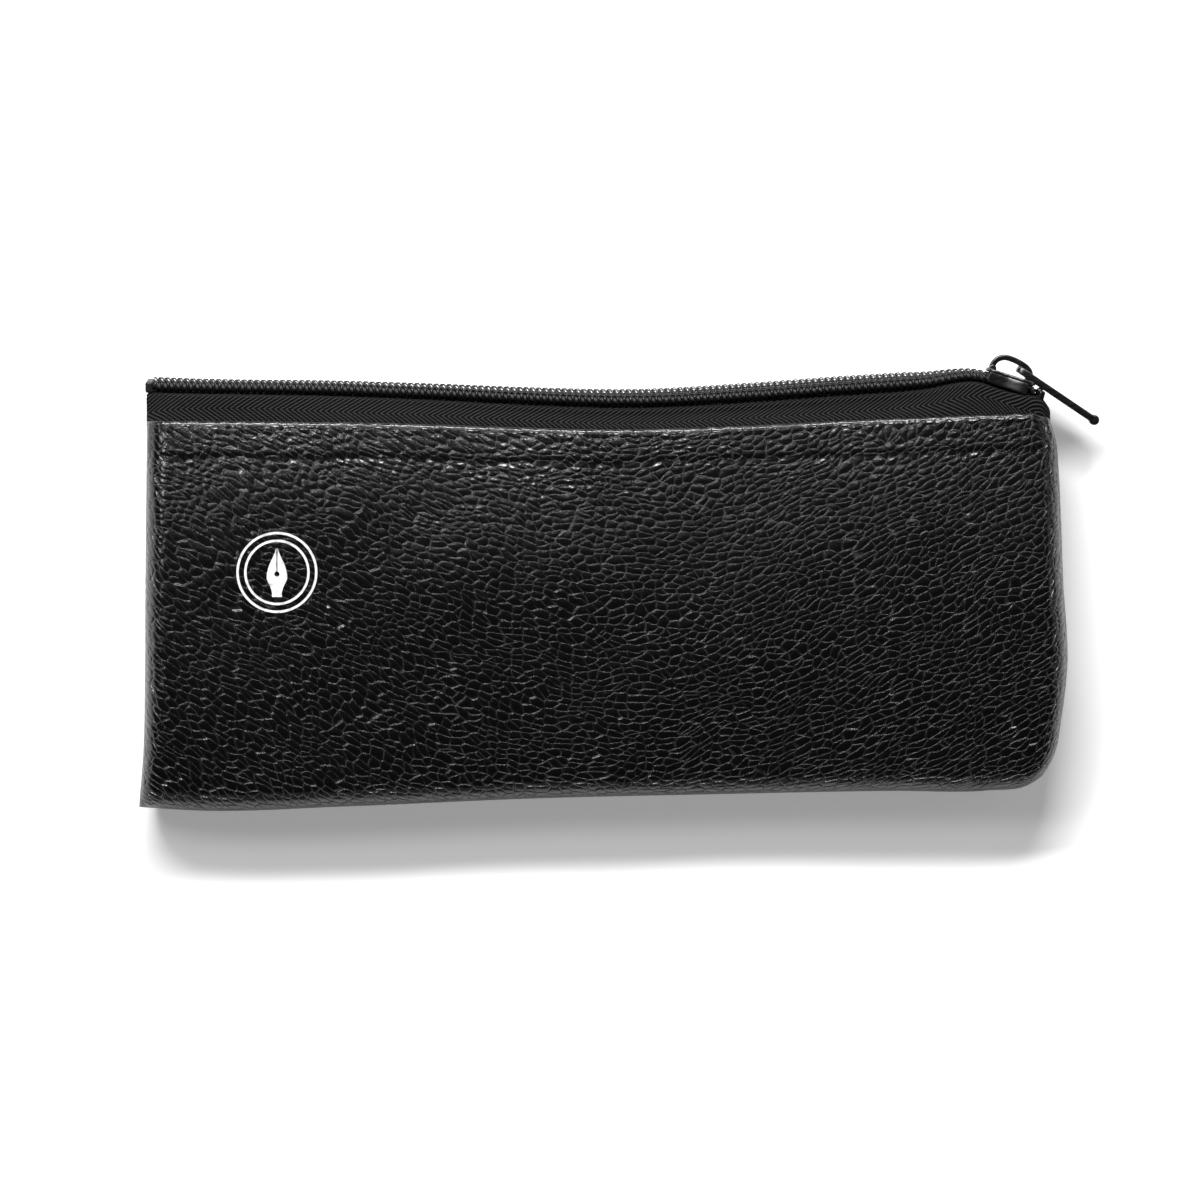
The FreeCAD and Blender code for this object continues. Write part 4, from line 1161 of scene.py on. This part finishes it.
@dataclass
class ZipTape:
    """One half's woven tape: a free lip in two lengths, and the strip sewn under the hem."""

    side: Side
    chain: Chain
    finishes: Finishes
    thickness: float = 0.55
    sewn: float = 5.5
    tuck: float = 0.9

    def build(self) -> list[bpy.types.Object]:
        """Makes the two lengths of lip and the sewn strip."""
        pieces = []
        for end in End:
            lip = grid(f"{self.side.word}_tape_{end.word}", 190, 16)
            drape(lip, lambda s, t, end=end: self.lip_surface(end, s, t))
            self.finish(lip, 190, 0.0)
            self.chain.hang(lip, self.side, end)
            pieces.append(lip)
        strip = grid(f"{self.side.word}_tape_sewn", 200, 4)
        drape(strip, self.sewn_surface)
        self.finish(strip, 200, self.lip_length)
        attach(strip, "pouch")
        return [*pieces, strip]

    def finish(self, tape: bpy.types.Object, columns: int, start: float) -> None:
        """Thickens and dresses a length of tape, with its UV map in millimetres.

        Args:
            tape: The length of tape, still a single skin.
            columns: Faces along its length.
            start: Distance from the tape's head to its first edge.
        """
        spots = points_of(tape).reshape(-1, columns + 1, 3) / MM
        steps = np.linalg.norm(np.diff(spots, axis=0), axis=2)
        down = start + np.concatenate([np.zeros((1, columns + 1)), np.cumsum(steps, axis=0)])
        corners = np.empty(len(tape.data.loops), int)
        tape.data.loops.foreach_get("vertex_index", corners)
        uvs = np.column_stack([spots[:, :, 0].ravel(), down.ravel()])[corners]
        tape.data.uv_layers.active.data.foreach_set("uv", uvs.ravel())
        thicken(tape, self.thickness * MM, 0.0)
        outward(tape)
        smooth(tape, 50.0)
        dress(tape, self.finishes.tape)
        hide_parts(f"zip_tape_{self.side.word}")

    @property
    def lip_length(self) -> float:
        """Length of the tape from the chain to the fold."""
        return self.chain.reach + 7.5

    def fold_line(self, s: Array) -> tuple[Array, Array]:
        """The start of the leather's fold, and the level of the tape under it."""
        panel, sign = self.chain.panel, self.side.value
        across = 1.6 + s * (panel.flat_width - 3.2)
        lip = panel.outside(across, np.full(len(s), panel.face_height))
        back = panel.outside(across, np.full(len(s), panel.face_height + math.pi * panel.fold))
        under = (back[:, 2] - self.chain.seam) * sign - self.thickness / 2 - 0.05
        return lip, self.chain.seam + sign * np.maximum(under, 0.36)

    def lip_surface(self, end: End, s: Array, t: Array) -> Array:
        """The middle of one length of lip, in millimetres, for a unit grid's coordinates."""
        half_way = 0.465
        along = s * half_way if end is End.LEFT else half_way + s * (1 - half_way)
        lip, level = self.fold_line(along)
        x = np.clip(lip[:, 0], self.chain.first - 1.2, 104.2)
        drop = -self.thickness / 2
        reach = self.chain.line(x)[:, 1]
        head = self.chain.at(self.side, x, self.chain.head, drop)
        shoulder = self.chain.at(self.side, x, reach - 1.0, drop)
        turned = self.chain.at(self.side, x, reach - 0.1, drop - 0.9)
        fold_y = lip[:, 1] + self.chain.panel.fold
        slack = 0.18 * waves(x, x * 0.0, 11.0, 51) * self.side.value
        middle = np.column_stack([
            x, 0.45 * turned[:, 1] + 0.55 * fold_y, 0.4 * turned[:, 2] + 0.6 * level + slack,
        ])
        at_fold = np.column_stack([x, fold_y + 0.1, level])
        tucked = np.column_stack([x, lip[:, 1] - self.tuck, level])
        return through([head, shoulder, turned, middle, at_fold, tucked], t)

    def sewn_surface(self, s: Array, t: Array) -> Array:
        """The middle of the sewn strip, in millimetres, for a unit grid's coordinates."""
        lip, level = self.fold_line(0.03 + 0.94 * s)
        y = lip[:, 1] - self.tuck - t * self.sewn
        return np.column_stack([lip[:, 0], y, level])


def wire(name: str, places: Array, radius: float, sides: int = 1) -> bpy.types.Object:
    """A round wire through places, as a mesh.

    Args:
        name: The piece's name.
        places: The wire's middle, in millimetres, one row for each point.
        radius: The wire's radius in millimetres.
        sides: How finely its section is divided.

    Returns:
        The wire as a mesh object with closed ends.
    """
    curve = bpy.data.curves.new(name, "CURVE")
    curve.dimensions = "3D"
    curve.bevel_depth = radius * MM
    curve.bevel_resolution = sides
    curve.use_fill_caps = True
    spline = curve.splines.new("POLY")
    spline.points.add(len(places) - 1)
    rows = np.column_stack([places * MM, np.ones(len(places))])
    spline.points.foreach_set("co", rows.ravel())
    obj = bpy.data.objects.new(name, curve)
    bpy.context.scene.collection.objects.link(obj)
    pick_only(obj)
    bpy.ops.object.convert(target="MESH")
    wired = named(bpy.context.object, name)
    outward(wired)
    return wired


@dataclass
class ZipCoil:
    """One half's nylon coil, its filler cord and the stitching that holds it to the tape."""

    side: Side
    chain: Chain
    finishes: Finishes
    wire_radius: float = 0.41
    core_radius: float = 0.85
    thread_radius: float = 0.13
    steps: int = 16
    squash: float = 0.62

    def build(self) -> list[bpy.types.Object]:
        """Makes the coil, cord and stitching, each in two lengths."""
        pieces = []
        for end in End:
            tag = f"{self.side.word}_{end.word}"
            coil = wire(f"coil_{tag}", self.turns(end), self.wire_radius)
            core = wire(f"coil_core_{tag}", self.core(end), self.core_radius, 2)
            rows = [wire(f"row_{n}", self.row(end, n), self.thread_radius) for n in (0, 1)]
            thread = join(f"coil_stitching_{tag}", rows)
            parts = (
                (coil, self.finishes.coil, "coil", f"zip_coil_{self.side.word}"),
                (core, self.finishes.core, "core_cord", f"coil_core_{self.side.word}"),
                (thread, self.finishes.thread, "coil_thread", f"coil_stitching_{self.side.word}"),
            )
            for piece, finish, slot, node in parts:
                smooth(piece, 80.0)
                dress(piece, finish)
                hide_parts(node)
                self.chain.hang(piece, self.side, end)
                pieces.append(piece)
        return pieces

    def turns(self, end: End) -> Array:
        """The coil's wire: a flattened helix, one turn for each pitch."""
        low, high = self.chain.span(end)
        offset = 0.0 if self.side is Side.FRONT else self.chain.pitch / 2
        count = round((high - low) / self.chain.pitch)
        turn = np.arange(count * self.steps + 1) / self.steps
        angle = turn * 2 * math.pi
        half_width = (self.chain.head + self.chain.reach) / 2 - self.wire_radius
        x = low + offset + turn * self.chain.pitch
        level = self.chain.rise_at(x) / 2
        middle = (self.chain.reach - self.chain.head) / 2
        across = middle - half_width * squarish(np.cos(angle), self.squash)
        rise = (level - self.wire_radius) * squarish(np.sin(angle), self.squash)
        return self.chain.at(self.side, x, across, level + rise)

    def core(self, end: End) -> Array:
        """The filler cord that runs inside the coil."""
        low, high = self.chain.span(end)
        x = np.linspace(low, high, 120)
        middle = (self.chain.reach - self.chain.head) / 2 + 0.3
        return self.chain.at(self.side, x, middle, self.chain.rise_at(x) / 2)

    def row(self, end: End, number: int) -> Array:
        """One row of stitches over the coil's turns."""
        low, high = self.chain.span(end)
        count = round((high - low) / self.chain.pitch) * 4
        step = np.arange(count + 1)
        x = low + step * self.chain.pitch / 4
        wiggle = np.array([0.0, 0.16, 0.0, -0.16])[step % 4]
        across = 1.15 + 0.95 * number + wiggle
        height = self.chain.rise_at(x) + 0.02 - 0.4 * (step % 4 == 2)
        return self.chain.at(self.side, x, across, height)


@dataclass
class TopStop:
    """The small metal stop clamped on one tape, just past the slider."""

    side: Side
    chain: Chain
    finishes: Finishes

    def build(self) -> bpy.types.Object:
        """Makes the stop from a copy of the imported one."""
        node = f"zip_top_stop_{self.side.word}"
        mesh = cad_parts[node].data.copy()
        stop = bpy.data.objects.new(f"top_stop_{self.side.word}", mesh)
        bpy.context.scene.collection.objects.link(stop)
        outward(named(stop, f"top_stop_{self.side.word}"))
        smooth(stop, 35.0)
        dress(stop, self.finishes.enamel)
        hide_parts(node)
        self.chain.hang(stop, self.side, End.RIGHT)
        return stop


# ---------------------------------------------------------------------------------------------
# Slider and pull
# ---------------------------------------------------------------------------------------------


@dataclass
class SliderSeat:
    """Where the slider sits at rest: X runs along the zip, Y across it and Z out of it."""

    centre: tuple[float, float, float] = (94.3, 52.0, 8.5)
    pitch: float = -18.0
    roll: float = 4.0

    def matrix(self) -> Matrix:
        """Places a slider part, modelled in metres about the slider's centre."""
        pitch, roll = math.radians(self.pitch), math.radians(self.roll)
        along = Vector((math.cos(pitch), math.sin(pitch), 0.0))
        out = Vector((
            -math.sin(pitch) * math.cos(roll), math.cos(pitch) * math.cos(roll), math.sin(roll),
        ))
        across = out.cross(along)
        turn = Matrix((along, across, out)).transposed().to_4x4()
        return Matrix.Translation(Vector(self.centre) * MM) @ turn

    def seat(self, obj: bpy.types.Object) -> None:
        """Moves a finished slider part onto the zip."""
        settle(obj)
        obj.data.transform(self.matrix())
        obj.data.update()


def plate(name: str, outline: Callable[[Array], Array], base: float, thickness: float,
          edge: float, points: int = 56) -> bpy.types.Object:
    """A flat plate with rounded edges.

    Args:
        name: The piece's name.
        outline: Gives X and Y in millimetres for an angle round the plate.
        base: Height of its lower face.
        thickness: How thick it is.
        edge: Radius of its edges.
        points: Corners round the outline.

    Returns:
        The plate.
    """
    bpy.ops.object.select_all(action="DESELECT")
    bpy.ops.mesh.primitive_circle_add(vertices=points, radius=1.0, fill_type="NGON")
    obj = named(bpy.context.object, name)
    spots = points_of(obj)
    flat = outline(np.arctan2(spots[:, 1], spots[:, 0]))
    move_points(obj, np.column_stack([flat, np.full(len(flat), base)]) * MM)
    bpy.ops.object.mode_set(mode="EDIT")
    bpy.ops.mesh.select_all(action="SELECT")
    bpy.ops.mesh.extrude_region_move(TRANSFORM_OT_translate={"value": (0, 0, thickness * MM)})
    bpy.ops.mesh.select_all(action="SELECT")
    bpy.ops.mesh.normals_make_consistent(inside=False)
    bpy.ops.object.mode_set(mode="OBJECT")
    soften(obj, edge)
    return obj


def soften(obj: bpy.types.Object, edge: float, segments: int = 3) -> None:
    """Rounds every sharp edge of a piece to a radius in millimetres."""
    bevel = obj.modifiers.new("Soft edges", "BEVEL")
    bevel.width = edge * MM
    bevel.segments = segments
    bevel.limit_method = "ANGLE"
    bevel.angle_limit = math.radians(35.0)
    apply_modifiers(obj)


def strap(name: str, line: list[tuple[float, float]], width: float, thickness: float,
          edge: float) -> bpy.types.Object:
    """A flat strap bent along a line in the slider's XZ plane, with rounded edges."""
    path = edge_line(line)
    obj = grid(name, 40, 6)

    def surface(s: Array, t: Array) -> Array:
        """The middle of the strap for a unit grid's coordinates."""
        spots = path(s)
        return np.column_stack([spots[:, 0], (t - 0.5) * width, spots[:, 1]])

    drape(obj, surface)
    thicken(obj, thickness * MM, 0.0)
    outward(obj)
    soften(obj, edge)
    return obj


def rod(name: str, radius: float, length: float, x: float, z: float,
        edge: float) -> bpy.types.Object:
    """A round bar across the slider with rounded ends, in millimetres."""
    bpy.ops.object.select_all(action="DESELECT")
    bpy.ops.mesh.primitive_cylinder_add(
        vertices=28, radius=radius * MM, depth=length * MM,
        location=(x * MM, 0, z * MM), rotation=(math.pi / 2, 0, 0),
    )
    obj = named(bpy.context.object, name)
    settle(obj)
    soften(obj, edge)
    return obj


@dataclass
class Slider:
    """The cast slider: two plates, the wedge between them, side flanges and the bail."""

    seat: SliderSeat
    finishes: Finishes
    half: float = 6.0
    tail: float = 4.15
    nose: float = 5.65
    plate: float = 0.9
    low: float = -1.0
    high: float = 2.8
    flange: float = 0.7
    flange_low: float = 0.35

    def outline(self, angle: Array) -> Array:
        """The plates' outline: a rounded oblong that widens to the nose."""
        power = 0.42
        x = self.half * squarish(np.cos(angle), power)
        y = self.reach_at(x) * squarish(np.sin(angle), power * 1.3)
        return np.column_stack([x, y])

    def reach_at(self, x: Array) -> Array:
        """Half the slider's width at each place from its tail to its nose."""
        return self.tail + (self.nose - self.tail) * ease(-2.0, 4.0, x)

    def wedge_outline(self, angle: Array) -> Array:
        """The wedge's outline: a drop that points to the tail."""
        x = 3.2 + 2.5 * np.cos(angle)
        y = 1.25 * np.sin(angle) * ease(-1.0, 1.0, np.cos(angle)) ** 0.5
        return np.column_stack([x, y])

    def side_wall(self, way: int) -> bpy.types.Object:
        """A flange that guides one tape, on the side that way gives."""
        wall = grid("flange", 20, 4)

        def surface(s: Array, t: Array) -> Array:
            """The middle of the flange for a unit grid's coordinates."""
            x = -self.half + 1.0 + s * (2 * self.half - 2.4)
            z = self.flange_low + t * (self.high + 0.1 - self.flange_low)
            return np.column_stack([x, way * (self.reach_at(x) - self.flange / 2 - 0.05), z])

        drape(wall, surface)
        thicken(wall, self.flange * MM, 0.0)
        outward(wall)
        soften(wall, 0.14, 2)
        return wall

    def build(self) -> bpy.types.Object:
        """Makes the slider in one cast piece."""
        top = self.high + self.plate
        parts = [
            plate("upper_plate", self.outline, self.high, self.plate, 0.3),
            plate("lower_plate", self.outline, self.low - self.plate, self.plate, 0.3),
            plate("wedge", self.wedge_outline, self.low - 0.1, self.high - self.low + 0.2, 0.05, 24),
            self.side_wall(1), self.side_wall(-1),
            strap("bail", [
                (-4.8, top - 0.5), (-4.8, top + 0.9), (-4.2, top + 2.4), (-2.8, top + 3.35),
                (-0.8, top + 3.5), (1.3, top + 3.2), (3.1, top + 2.6), (4.1, top + 1.7),
                (4.3, top + 0.7), (4.2, top - 0.5),
            ], 2.3, 1.35, 0.42),
            rod("bail_boss_tail", 0.9, 3.0, -4.6, top + 0.1, 0.25),
            rod("bail_boss_nose", 0.75, 3.0, 4.1, top + 0.1, 0.25),
        ]
        slider = join("zip_slider", parts)
        self.seat.seat(slider)
        smooth(slider, 35.0)
        dress(slider, self.finishes.enamel)
        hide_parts("slider_body")
        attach(slider, "slider")
        return slider


@dataclass
class PullTab:
    """The cast pull: a ring round the bail, a flat handle and a beaded end."""

    seat: SliderSeat
    slider: Slider
    finishes: Finishes
    pivot: tuple[float, float] = (1.5, 1.75)
    dip: float = 16.0
    length: float = 22.2
    width: float = 6.4
    thickness: float = 1.6
    slot: tuple[float, float] = (0.55, 7.2)
    slot_width: float = 3.0
    bead: float = 1.2
    corner: float = 0.4
    recess: float = 0.22

    def outline(self, angle: Array) -> Array:
        """The tab's outline: a long oblong with round corners, a little waisted."""
        x = self.length / 2 - 0.8 + squarish(np.cos(angle), 0.3) * (self.length / 2 - 0.1)
        waist = 1.0 - 0.1 * np.exp(-(((x - 11.0) / 5.0) ** 2))
        y = self.width / 2 * waist * squarish(np.sin(angle), 0.45)
        return np.column_stack([x, y])

    def slot_outline(self, angle: Array) -> Array:
        """The outline of the slot that the bail passes through."""
        low, high = self.slot
        x = (low + high) / 2 + (high - low) / 2 * squarish(np.cos(angle), self.corner)
        y = self.slot_width / 2 * squarish(np.sin(angle), self.corner)
        return np.column_stack([x, y])

    def panel_outline(self, angle: Array) -> Array:
        """The outline of the shallow recess in each face of the handle."""
        x = 14.2 + 5.4 * squarish(np.cos(angle), self.corner)
        y = 1.75 * squarish(np.sin(angle), self.corner)
        return np.column_stack([x, y])

    def cut(self, body: bpy.types.Object, tool: bpy.types.Object) -> None:
        """Cuts a tool's shape out of a body and removes the tool."""
        saw = body.modifiers.new("Cut", "BOOLEAN")
        saw.object = tool
        saw.operation = "DIFFERENCE"
        saw.solver = "EXACT"
        apply_modifiers(body)
        bpy.data.objects.remove(tool, do_unlink=True)

    def build(self) -> bpy.types.Object:
        """Makes the pull in one cast piece and hangs it on the bail."""
        half = self.thickness / 2
        tab = plate("pull", self.outline, -half, self.thickness, 0.28, 96)
        self.cut(tab, plate("slot", self.slot_outline, -2.0, 4.0, 0.02, 48))
        for base in (-half - 1.0, half - self.recess):
            self.cut(tab, plate("recess", self.panel_outline, base, 1.0 + self.recess, 0.02, 40))
        soften(tab, 0.1, 2)
        head = rod("head_bar", 0.72, self.width - 1.6, 0.05, 0.0, 0.2)
        bead = rod("bead", self.bead, self.width - 1.4, self.length - self.bead, 0.0, 0.4)
        pull = join("zip_pull", [tab, head, bead])
        lift = self.slider.high + self.slider.plate + self.pivot[1]
        at_pivot = Matrix.Translation(Vector((self.pivot[0], 0.0, lift)) * MM)
        pull.data.transform(at_pivot @ Matrix.Rotation(math.radians(self.dip), 4, "Y"))
        self.seat.seat(pull)
        smooth(pull, 35.0)
        dress(pull, self.finishes.enamel)
        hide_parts("pull_tab")
        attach(pull, "pull")
        return pull


# ---------------------------------------------------------------------------------------------
# Studio
# ---------------------------------------------------------------------------------------------


@dataclass(frozen=True)
class Softbox:
    """A large soft light that stands off the case and aims at its middle."""

    name: str
    bearing: float
    height: float
    power: float
    width: float
    depth: float
    distance: float = 1.1

    def build(self) -> None:
        """Adds the light. Its bearing runs from +X towards +Y, in degrees."""
        lamp = bpy.data.lights.new(self.name, "AREA")
        lamp.shape = "RECTANGLE"
        lamp.size, lamp.size_y = self.width, self.depth
        lamp.energy = self.power
        bearing, height = math.radians(self.bearing), math.radians(self.height)
        way = Vector((
            math.cos(bearing) * math.cos(height), math.sin(bearing) * math.cos(height),
            math.sin(height),
        ))
        obj = bpy.data.objects.new(self.name, lamp)
        obj.location = way * self.distance
        obj.rotation_euler = way.to_track_quat("Z", "Y").to_euler()
        bpy.context.scene.collection.objects.link(obj)


@dataclass(frozen=True)
class Studio:
    """A pale floor, soft lights round the case and a camera straight above it."""

    floor_size: float = 6.0
    floor_tone: float = 0.86
    zenith: float = 0.02
    horizon: float = 0.22
    floor_glow: float = 0.28
    camera_height: float = 1.2
    view_width: float = 0.2808
    aim: tuple[float, float, float] = (-0.0007, 0.0028, 0.0085)
    lights: tuple[Softbox, ...] = (
        Softbox("key_far", 102.0, 42.0, 22.0, 0.9, 0.14),
        Softbox("key_left", 140.0, 50.0, 3.0, 0.4, 0.2),
        Softbox("fill_right", 15.0, 30.0, 0.8, 0.9, 0.4),
        Softbox("fill_near", 265.0, 26.0, 0.5, 1.2, 0.4),
    )

    def build(self) -> None:
        """Adds the floor, the lights, the air's own light and the camera."""
        bpy.ops.object.select_all(action="DESELECT")
        bpy.ops.mesh.primitive_plane_add(size=self.floor_size, location=(0, 0, -0.0003))
        floor = named(bpy.context.object, "studio_floor")
        settle(floor)
        paper = Recipe("pale_paper")
        mottle = paper.noise(paper.place((40.0, 40.0, 40.0)))
        tone = self.floor_tone
        paper.feed("Base Color", paper.mix(mottle, tint(tone * 0.99), tint(tone)))
        paper.set(Roughness=0.9, Specular_IOR_Level=0.1, Emission_Strength=self.floor_glow)
        paper.set(Emission_Color=(1.0, 1.0, 1.0, 1.0))
        floor.data.materials.append(paper.material)
        world = bpy.data.worlds.new("studio_air")
        world.use_nodes = True
        nodes, links = world.node_tree.nodes, world.node_tree.links
        way, apart = nodes.new("ShaderNodeTexCoord"), nodes.new("ShaderNodeSeparateXYZ")
        fade = nodes.new("ShaderNodeMapRange")
        for key, value in (("From Min", 0.04), ("From Max", 0.3), ("To Min", self.horizon),
                           ("To Max", self.zenith)):
            fade.inputs[key].default_value = value
        background = nodes["Background"]
        background.inputs[0].default_value = (1.0, 1.0, 1.0, 1.0)
        links.new(way.outputs["Generated"], apart.inputs[0])
        links.new(apart.outputs[2], fade.inputs["Value"])
        links.new(fade.outputs[0], background.inputs[1])
        bpy.context.scene.world = world
        bpy.context.scene.view_settings.view_transform = "Standard"
        for light in self.lights:
            light.build()
        self.place_camera()

    def place_camera(self) -> None:
        """Puts the camera above the case, looking straight down with +Y up."""
        camera = bpy.data.cameras.new("top_camera")
        camera.sensor_width = 36.0
        camera.lens = camera.sensor_width * self.camera_height / self.view_width
        obj = bpy.data.objects.new("top_camera", camera)
        obj.location = Vector(self.aim) + Vector((0.0, 0.0, self.camera_height))
        bpy.context.scene.collection.objects.link(obj)
        bpy.context.scene.camera = obj


# ---------------------------------------------------------------------------------------------
# Assembly
# ---------------------------------------------------------------------------------------------


def finish_frame_nodes(finishes: Finishes) -> None:
    """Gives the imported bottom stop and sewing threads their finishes."""
    kept = {
        finishes.stop: ("zip_bottom_stop",),
        finishes.thread: (
            "side_seam_thread_left", "side_seam_thread_right", "bottom_seam_thread",
            "zip_seam_thread_front", "zip_seam_thread_back",
        ),
    }
    for finish, nodes in kept.items():
        for name in nodes:
            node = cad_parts[name]
            for place in node.material_slots:
                place.material = finish
            LOG.info("dressed %s", name)


def main() -> None:
    """Builds the case in order."""
    logging.basicConfig(level=logging.INFO, format="%(message)s")
    Studio().build()
    finishes = Finishes()
    form = CaseForm()
    panels = {side: LeatherPanel(side, form, finishes) for side in Side}
    pieces = [panels[side].build() for side in Side]
    pieces.append(PrintedNib(pieces[0], finishes).build())
    for side in Side:
        pieces.append(Lining(side, panels[side], finishes).build())
        chain = Chain(panels[side])
        pieces += ZipTape(side, chain, finishes).build()
        pieces += ZipCoil(side, chain, finishes).build()
        pieces.append(TopStop(side, chain, finishes).build())
    seat = SliderSeat()
    slider = Slider(seat, finishes)
    pieces += [slider.build(), PullTab(seat, slider, finishes).build()]
    finish_frame_nodes(finishes)
    for piece in pieces:
        LOG.info("made %s with %d faces", piece.name, len(piece.data.polygons))


if __name__ == "__main__":
    main()
